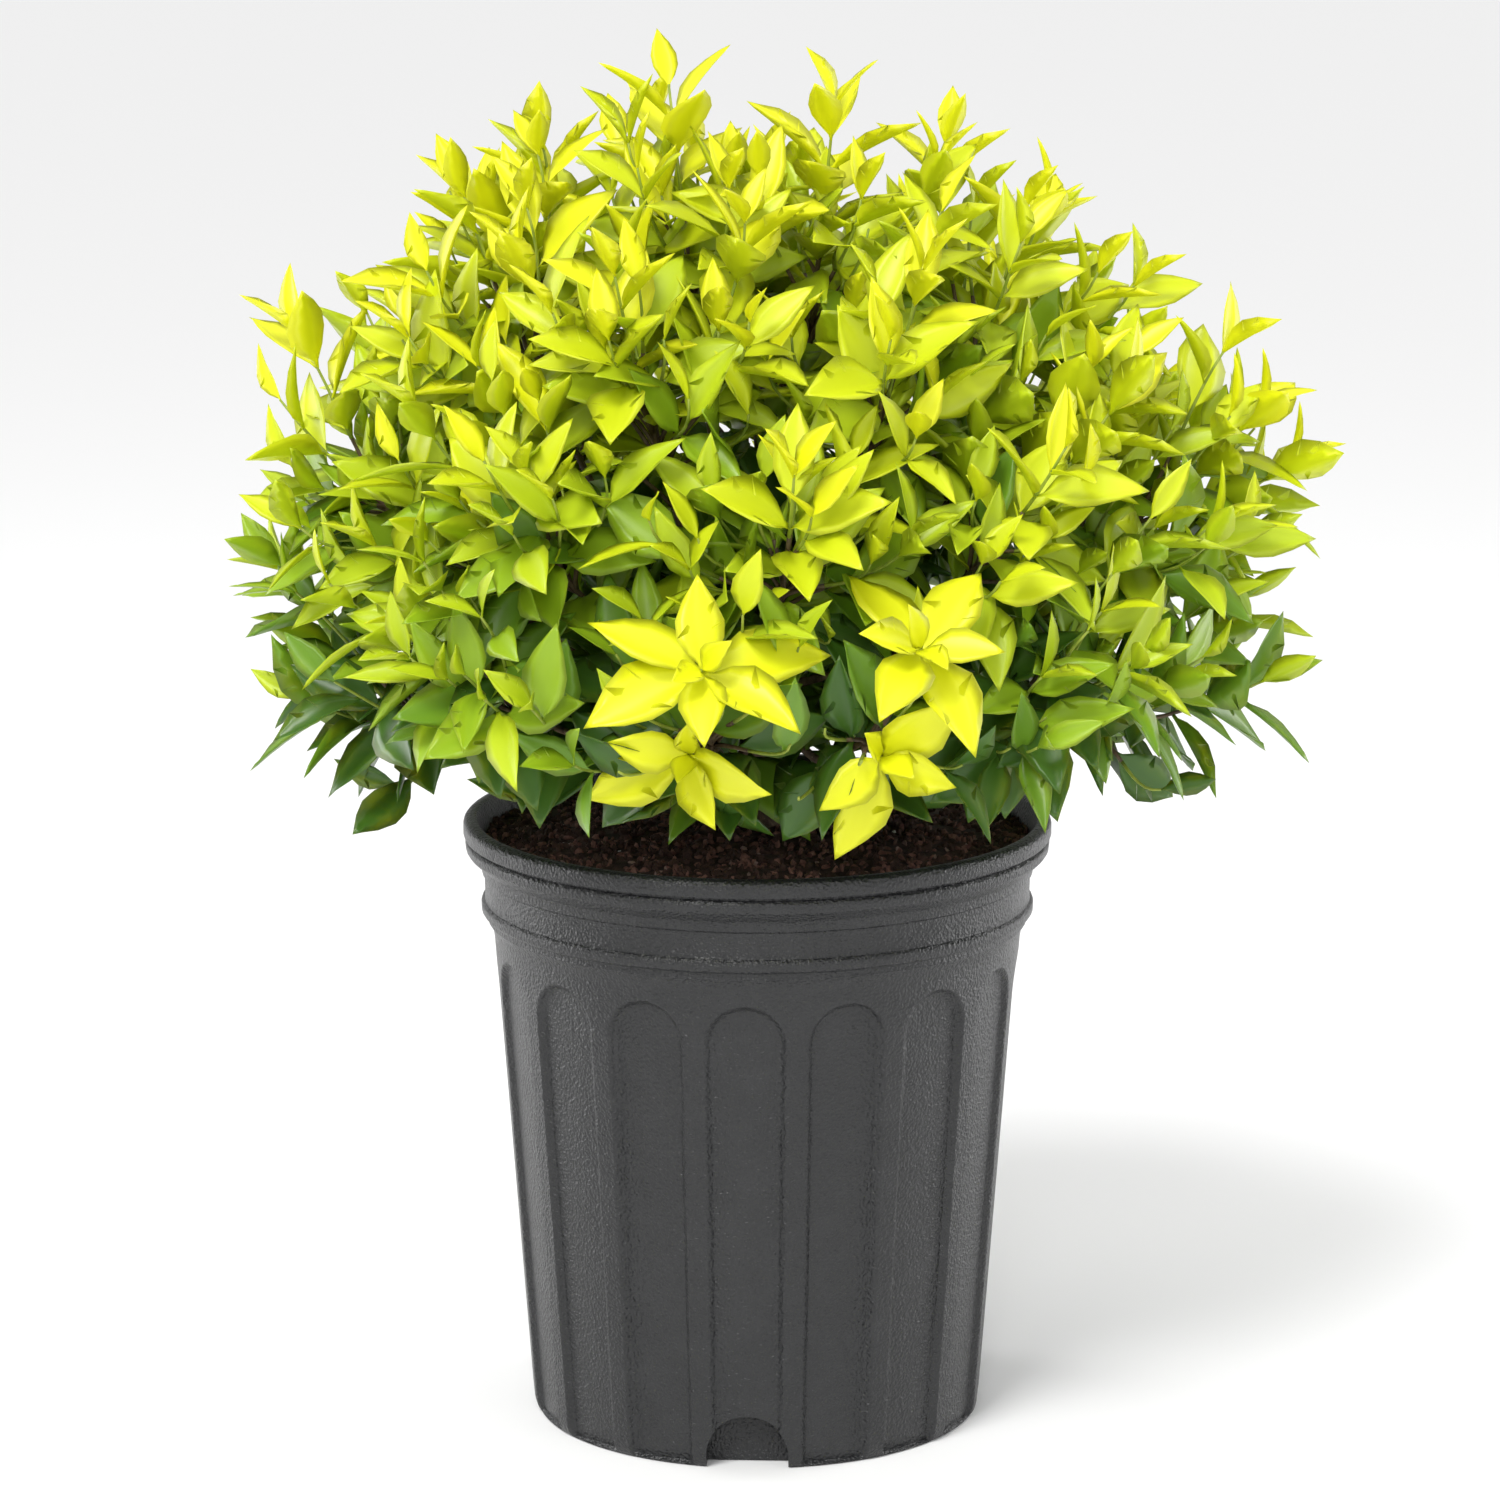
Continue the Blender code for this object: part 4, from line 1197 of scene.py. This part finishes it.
def flute_angles(radius, height, settings):
    """Turns of the columns across one flute and the half ribs beside it."""
    spring = arch_spring(settings)
    if height > spring:
        half = settings.flute_half_width
        level = min(1.0, (height - spring) / half)
        half *= max(NARROWEST_FLUTE, math.sqrt(1.0 - level * level))
    else:
        half = straight_half_width(height, settings)
    half_pitch = FLUTE_PITCH / 2
    edge = min(half / radius, half_pitch * WIDEST_FLUTE)
    angles = [edge * share for share in FLUTE_COLUMNS]
    angles += [edge + (half_pitch - edge) * share for share in RIB_COLUMNS]
    return [-angle for angle in reversed(angles[1:-1])] + angles


def pot_mesh(settings):
    """The outside, the lip and the inside down to below the soil, closed by two discs."""
    corners = []
    profile = pot_profile(settings)
    for radius, height, fluted in profile:
        angles = flute_angles(radius, height, settings)
        for flute in range(FLUTE_COUNT):
            for angle in angles:
                sunk = flute_mask(angle * radius, height, settings) if fluted else 0.0
                out = radius - settings.flute_depth * sunk
                turn = FLUTE_TURN + flute * FLUTE_PITCH + angle
                corners.append((math.sin(turn) * out, -math.cos(turn) * out, height))
    count = len(corners) // len(profile)
    faces = ring_faces(0, len(profile), count)
    faces.append(tuple(reversed(range(count))))
    faces.append(tuple(range(len(corners) - count, len(corners))))
    return outward(mesh_of("pot shell", corners, faces))


def arch_cutter(turn):
    """A block with a half-round top that cuts one drain pocket."""
    spring = POCKET_HEIGHT - POCKET_HALF_WIDTH
    outline = [(POCKET_HALF_WIDTH, -POCKET_BELOW)]
    for angle in np.linspace(0.0, math.pi, POCKET_STEPS):
        rise = POCKET_HALF_WIDTH * math.sin(angle)
        outline.append((POCKET_HALF_WIDTH * math.cos(angle), spring + rise))
    outline.append((-POCKET_HALF_WIDTH, -POCKET_BELOW))
    back = BODY_FOOT_RADIUS - POCKET_DEPTH
    corners = [(x, -y, z) for y in (back, back + POCKET_REACH) for x, z in outline]
    count = len(outline)
    faces = [tuple(range(count)), tuple(reversed(range(count, 2 * count)))]
    faces += [(after, near, far, far_after) for near, after, far_after, far in ring_faces(0, 2, count)]
    mesh = outward(mesh_of("pocket cutter", corners, faces))
    mesh.transform(Matrix.Rotation(turn, 4, "Z"))
    return add_object("pocket cutter", mesh)


def cut_pockets(pot):
    """Cuts the drain pockets out of the pot's foot."""
    for number in range(POCKET_COUNT):
        cutter = arch_cutter(FLUTE_TURN + number * math.tau / POCKET_COUNT)
        cut = pot.modifiers.new("pocket", "BOOLEAN")
        cut.operation = "DIFFERENCE"
        cut.solver = "EXACT"
        cut.object = cutter
        mesh = applied_mesh(pot)
        pot.modifiers.remove(cut)
        pot.data = mesh
        remove_object(cutter)


class PotSettings(bpy.types.PropertyGroup):
    """Sizes and colour of the pot."""

    flute_depth: bpy.props.FloatProperty(
        name="Flute depth", description="How far the flutes are sunk", default=0.0023, unit="LENGTH"
    )
    flute_half_width: bpy.props.FloatProperty(
        name="Flute half width",
        description="Half of a flute's width at its top",
        default=0.0157,
        unit="LENGTH",
    )
    flute_top: bpy.props.FloatProperty(
        name="Flute top", description="Height of the arches' tops", default=0.1838, unit="LENGTH"
    )
    colour: bpy.props.FloatVectorProperty(
        name="Plastic",
        description="Colour of the pot",
        default=(0.012, 0.0125, 0.0135),
        subtype="COLOR",
    )


class SoilSettings(bpy.types.PropertyGroup):
    """How rough and how full of grains the potting mix is."""

    roughness: bpy.props.FloatProperty(
        name="Unevenness", description="Height of the soil's lumps", default=0.0022, unit="LENGTH"
    )
    density: bpy.props.FloatProperty(
        name="Grains", description="Grains on a square metre", default=110000.0
    )


class PlantSettings(bpy.types.PropertyGroup):
    """How many shoots the crown has and how close its leaves stand."""

    shoots: bpy.props.IntProperty(
        name="Shoots", description="Scattered shoots in the crown", default=440
    )
    spacing: bpy.props.FloatProperty(
        name="Pair spacing",
        description="Distance between two pairs of leaves",
        default=0.0122,
        unit="LENGTH",
    )
    seed: bpy.props.IntProperty(name="Seed", description="Seed of the crown's chance", default=SEED)


class StageSettings(bpy.types.PropertyGroup):
    """The camera, the floor and the lights."""

    lens: bpy.props.FloatProperty(
        name="Lens", description="Focal length in millimetres", default=154.3
    )
    pitch: bpy.props.FloatProperty(
        name="Pitch",
        description="How far the camera looks down",
        default=math.radians(12.18),
        subtype="ANGLE",
    )
    floor_colour: bpy.props.FloatVectorProperty(
        name="Floor", description="Colour of the floor", default=(0.92, 0.92, 0.92), subtype="COLOR"
    )


class PRIVET_OT_pot(bpy.types.Operator):
    """Make the pot with its lip, collar, ridge, flutes and drain pockets"""

    bl_idname = "privet.pot"
    bl_label = "Pot"

    def execute(self, context):
        settings = context.scene.privet_pot
        material = plastic_finish(tuple(settings.colour))
        pot = add_object("pot_shell", pot_mesh(settings), material)
        cut_pockets(pot)
        pot.data.materials.clear()
        pot.data.materials.append(material)
        pot.data.shade_smooth()
        pot.data.set_sharp_from_angle(angle=SHARP_ANGLE)
        finish_piece(pot, "pot", "pot")
        return {"FINISHED"}


def soil_height(x, y, unevenness):
    """Height of the soil's surface, which rises a little towards the stem."""
    share = min(1.0, math.hypot(x, y) / SOIL_RADIUS)
    fall = (SOIL_EDGE_HEIGHT - SOIL_CROWN_HEIGHT) * share**SOIL_FALL
    lumps = sum(
        weight * noise.noise(Vector((x * pitch, y * pitch, layer)))
        for pitch, weight, layer in SOIL_LUMPS
    )
    return SOIL_CROWN_HEIGHT - SOIL_DROP + fall + lumps * unevenness * 0.5


def circle(radius):
    """Points round the soil at a radius."""
    turns = [math.tau * step / SOIL_STEPS for step in range(SOIL_STEPS)]
    return [(radius * math.cos(turn), radius * math.sin(turn)) for turn in turns]


def soil_mesh(unevenness):
    """The soil's uneven top and a short stretch of its side, closed below."""
    corners = [(0.0, 0.0, soil_height(0.0, 0.0, unevenness))]
    for ring in range(1, SOIL_RINGS + 1):
        for x, y in circle(SOIL_RADIUS * ring / SOIL_RINGS):
            corners.append((x, y, soil_height(x, y, unevenness)))
    foot = len(corners)
    corners += [(x, y, SOIL_EDGE_HEIGHT - SKIRT_DEPTH) for x, y in circle(SOIL_RADIUS - SKIRT_INSET)]
    faces = [(0, 1 + step, 1 + (step + 1) % SOIL_STEPS) for step in range(SOIL_STEPS)]
    for inner, beside, across, outer in ring_faces(1, SOIL_RINGS + 1, SOIL_STEPS):
        faces.append((inner, outer, across, beside))
    faces.append(tuple(reversed(range(foot, foot + SOIL_STEPS))))
    return outward(mesh_of("soil surface", corners, faces))


def soil_top(surface):
    """A copy of the soil with only the faces that look up, for the grains to lie on."""
    top = add_object("soil top", surface.data.copy())
    shape = bmesh.new()
    shape.from_mesh(top.data)
    low = [face for face in shape.faces if face.normal.z < SOIL_TOP_FACING]
    bmesh.ops.delete(shape, geom=low, context="FACES")
    shape.to_mesh(top.data)
    shape.free()
    return top


def grain_mesh():
    """An uneven crumb, one across."""
    shape = bmesh.new()
    bmesh.ops.create_icosphere(shape, subdivisions=1, radius=0.5)
    for corner in shape.verts:
        corner.co *= 1.0 + GRAIN_SWELL * noise.noise(corner.co * GRAIN_NOISE)
    mesh = bpy.data.meshes.new("grain")
    shape.to_mesh(mesh)
    shape.free()
    return mesh


class PRIVET_OT_soil(bpy.types.Operator):
    """Make the potting mix: an uneven surface and the bark grains on it"""

    bl_idname = "privet.soil"
    bl_label = "Potting mix"

    def execute(self, context):
        settings = context.scene.privet_soil
        earth = earth_finish("potting mix", (0.024, 0.012, 0.009), (0.085, 0.044, 0.032), 240.0)
        surface = add_object("soil_surface", soil_mesh(settings.roughness), earth)
        finish_piece(surface, "soil", "soil")
        grain = add_object("grain", grain_mesh())
        top = soil_top(surface)
        tree = grain_tree()
        for name, dark, light, share, smallest, largest, seed in GRAINS:
            finish = earth_finish(name.replace("_", " "), dark, light, 300.0)
            values = {
                "Grain": grain,
                "Finish": finish,
                "Density": settings.density * share,
                "Smallest": (smallest, smallest, smallest * GRAIN_FLATNESS),
                "Largest": (largest, largest, largest * GRAIN_FLATNESS),
                "Seed": seed,
            }
            piece = run_tree(top, tree, values, "soil_" + name, finish)
            piece.data.shade_flat()
            finish_piece(piece, "soil")
        remove_object(grain)
        remove_object(top)
        return {"FINISHED"}


def ripple(angle, share, height, lobes, climb, start=0.0):
    """A wave round a limb, with so many lobes, that winds as it climbs."""
    return height * math.sin(angle * lobes + share * climb + start)


def trunk_relief(angle, share):
    """Ridges that run up from the roots' flare and fade, and smaller ones all the way."""
    flare = max(0.0, 1.0 - share * ROOT_FADE)
    roots = ripple(angle, share, height=0.10 * flare, lobes=5, climb=0, start=0.6)
    return 0.95 + roots + ripple(angle, share, height=0.035, lobes=9, climb=14)


def limb_relief(angle, share):
    """Low swellings along a limb."""
    swelling = ripple(angle, share, height=0.04, lobes=1, climb=46)
    return 0.96 + swelling + ripple(angle, share, height=0.03, lobes=3, climb=11)


class PRIVET_OT_limbs(bpy.types.Operator):
    """Make the trunk, the leaders and the boughs with the relief of their bark"""

    bl_idname = "privet.limbs"
    bl_label = "Trunk and boughs"

    def execute(self, context):
        bark = bark_finish()
        limbs = plan_limbs()
        trunk = Tubes(TRUNK_SIDES)
        shares = np.linspace(0.0, 1.0, TRUNK_RINGS)
        radii = np.interp(shares, TRUNK_SHARES, TRUNK_RADII)
        heights = TRUNK_FOOT + (TRUNK_TOP - TRUNK_FOOT) * shares
        trunk.add([trunk_middle(height) for height in heights], radii, trunk_relief)
        piece = add_object("trunk_bark", trunk.mesh("trunk bark"), bark)
        finish_piece(piece, "bark", "trunk")
        for group, stem in (("leaders", "leader_"), ("boughs", "bough_")):
            tubes = Tubes(LIMB_SIDES)
            chosen = [limb for limb in limbs.values() if limb.name.startswith(stem)]
            for limb in chosen:
                radii = [limb.radius(share) for share in np.linspace(0.0, 1.0, LIMB_RINGS)]
                tubes.add(limb.path.points(LIMB_RINGS), radii, limb_relief)
            piece = add_object(group + "_bark", tubes.mesh(group), bark)
            finish_piece(piece, "bark", *[limb.name for limb in chosen])
        return {"FINISHED"}


class PRIVET_OT_foliage(bpy.types.Operator):
    """Make the shoots and the leaves of the whole crown"""

    bl_idname = "privet.foliage"
    bl_label = "Shoots and leaves"

    def execute(self, context):
        settings = context.scene.privet_plant
        rng = np.random.default_rng(settings.seed)
        limbs = plan_limbs()
        masses = plan_masses(limbs)
        shoots = plan_shoots(masses, settings.shoots, rng)
        wood, green = twig_tubes(shoots)
        bark = twig_finish("twig wood", (0.085, 0.052, 0.030), (0.16, 0.11, 0.06))
        skin = twig_finish("young shoot", (0.22, 0.30, 0.03), (0.34, 0.40, 0.05))
        twigs = add_object("twigs_brown", wood.mesh("brown twigs"), bark)
        finish_piece(twigs, "bark", *["foliage_" + mass.name for mass in masses])
        finish_piece(add_object("twigs_green", green.mesh("green twigs"), skin), "leaves")
        shapes = []
        for kind, fold, curl, twist in LEAF_SHAPES:
            name = "leaf " + kind
            shapes.append((kind, add_object(name, leaf_mesh(name, fold, curl, twist))))
        leaves = crown_leaves(limbs, masses, shoots, settings.spacing, rng)
        tree = spray_tree()
        for (name, colour, roughness), group in zip(LEAF_FINISHES, sort_leaves(leaves)):
            finish = leaf_finish(name, colour, roughness)
            for start, (kind, shape) in enumerate(shapes):
                chosen = group[start :: len(shapes)]
                if not chosen:
                    continue
                points = leaf_points("points", chosen)
                values = {"Leaf": shape, "Finish": finish, "Size": 1.0}
                piece = run_tree(points, tree, values, f"leaves_{name}_{kind}", finish)
                piece.data.shade_smooth()
                finish_piece(piece, "leaves")
                remove_object(points)
        for kind, shape in shapes:
            remove_object(shape)
        return {"FINISHED"}


def floor_mesh():
    """A flat floor just under the pot's foot."""
    signs = ((-1, -1), (1, -1), (1, 1), (-1, 1))
    corners = [(x * FLOOR_HALF, y * FLOOR_HALF, -CLEAR) for x, y in signs]
    return mesh_of("floor", corners, [(0, 1, 2, 3)])


def area_light(name, place, size, power, colour):
    """A rectangular light that faces the middle of the plant."""
    lamp = bpy.data.lights.new(name, "AREA")
    lamp.energy = power
    lamp.color = colour
    lamp.shape = "RECTANGLE"
    lamp.size, lamp.size_y = size
    light = add_object(name, lamp)
    light.location = place
    aim = Vector(LIT_PLACE) - Vector(place)
    light.rotation_euler = aim.to_track_quat("-Z", "Y").to_euler()


def soft_sun():
    """A soft sun from the front left, which models the leaves."""
    sun = bpy.data.lights.new("soft sun", "SUN")
    sun.energy = SUN_POWER
    sun.angle = SUN_SPREAD
    add_object("soft sun", sun).rotation_euler = SUN_TURN


def white_sky():
    """An even white surrounding."""
    world = bpy.data.worlds.new("studio")
    world.use_nodes = True
    sky = world.node_tree.nodes["Background"]
    sky.inputs["Color"].default_value = (1.0, 1.0, 1.0, 1.0)
    sky.inputs["Strength"].default_value = SKY_STRENGTH
    return world


class PRIVET_OT_stage(bpy.types.Operator):
    """Set the floor, the lights and the camera"""

    bl_idname = "privet.stage"
    bl_label = "Stage"

    def execute(self, context):
        settings = context.scene.privet_stage
        finish = Finish("pale floor", tuple(settings.floor_colour), 0.7)
        add_object("floor", floor_mesh(), finish.material)
        context.scene.world = white_sky()
        for light in LIGHTS:
            area_light(*light)
        soft_sun()
        camera = bpy.data.cameras.new("camera")
        camera.lens = settings.lens
        camera.sensor_width = FILM_WIDTH
        camera.dof.use_dof = False
        eye = add_object("camera", camera)
        eye.location = CAMERA_PLACE
        eye.rotation_euler = (math.pi / 2 - settings.pitch, 0.0, 0.0)
        context.scene.camera = eye
        context.scene.view_settings.view_transform = "Standard"
        return {"FINISHED"}


class PRIVET_PT_panel(bpy.types.Panel):
    """Lists what the potted privet is made of"""

    bl_idname = "PRIVET_PT_panel"
    bl_label = "Potted privet"
    bl_space_type = "VIEW_3D"
    bl_region_type = "UI"
    bl_category = "Privet"

    def draw(self, context):
        for kind in OPERATORS:
            self.layout.operator(kind.bl_idname)
        for name in SETTINGS:
            group = getattr(context.scene, name)
            for key in group.bl_rna.properties.keys():
                if key not in ("rna_type", "name"):
                    self.layout.prop(group, key)


SETTINGS = {
    "privet_pot": PotSettings,
    "privet_soil": SoilSettings,
    "privet_plant": PlantSettings,
    "privet_stage": StageSettings,
}
OPERATORS = (PRIVET_OT_stage, PRIVET_OT_pot, PRIVET_OT_soil, PRIVET_OT_limbs, PRIVET_OT_foliage)


def register():
    for name, kind in SETTINGS.items():
        bpy.utils.register_class(kind)
        setattr(bpy.types.Scene, name, bpy.props.PointerProperty(type=kind))
    for kind in OPERATORS:
        bpy.utils.register_class(kind)
    bpy.utils.register_class(PRIVET_PT_panel)


def unregister():
    bpy.utils.unregister_class(PRIVET_PT_panel)
    for kind in reversed(OPERATORS):
        bpy.utils.unregister_class(kind)
    for name, kind in SETTINGS.items():
        delattr(bpy.types.Scene, name)
        bpy.utils.unregister_class(kind)


def main():
    register()
    bpy.ops.privet.stage()
    bpy.ops.privet.pot()
    bpy.ops.privet.soil()
    bpy.ops.privet.limbs()
    bpy.ops.privet.foliage()


if __name__ == "__main__":
    main()
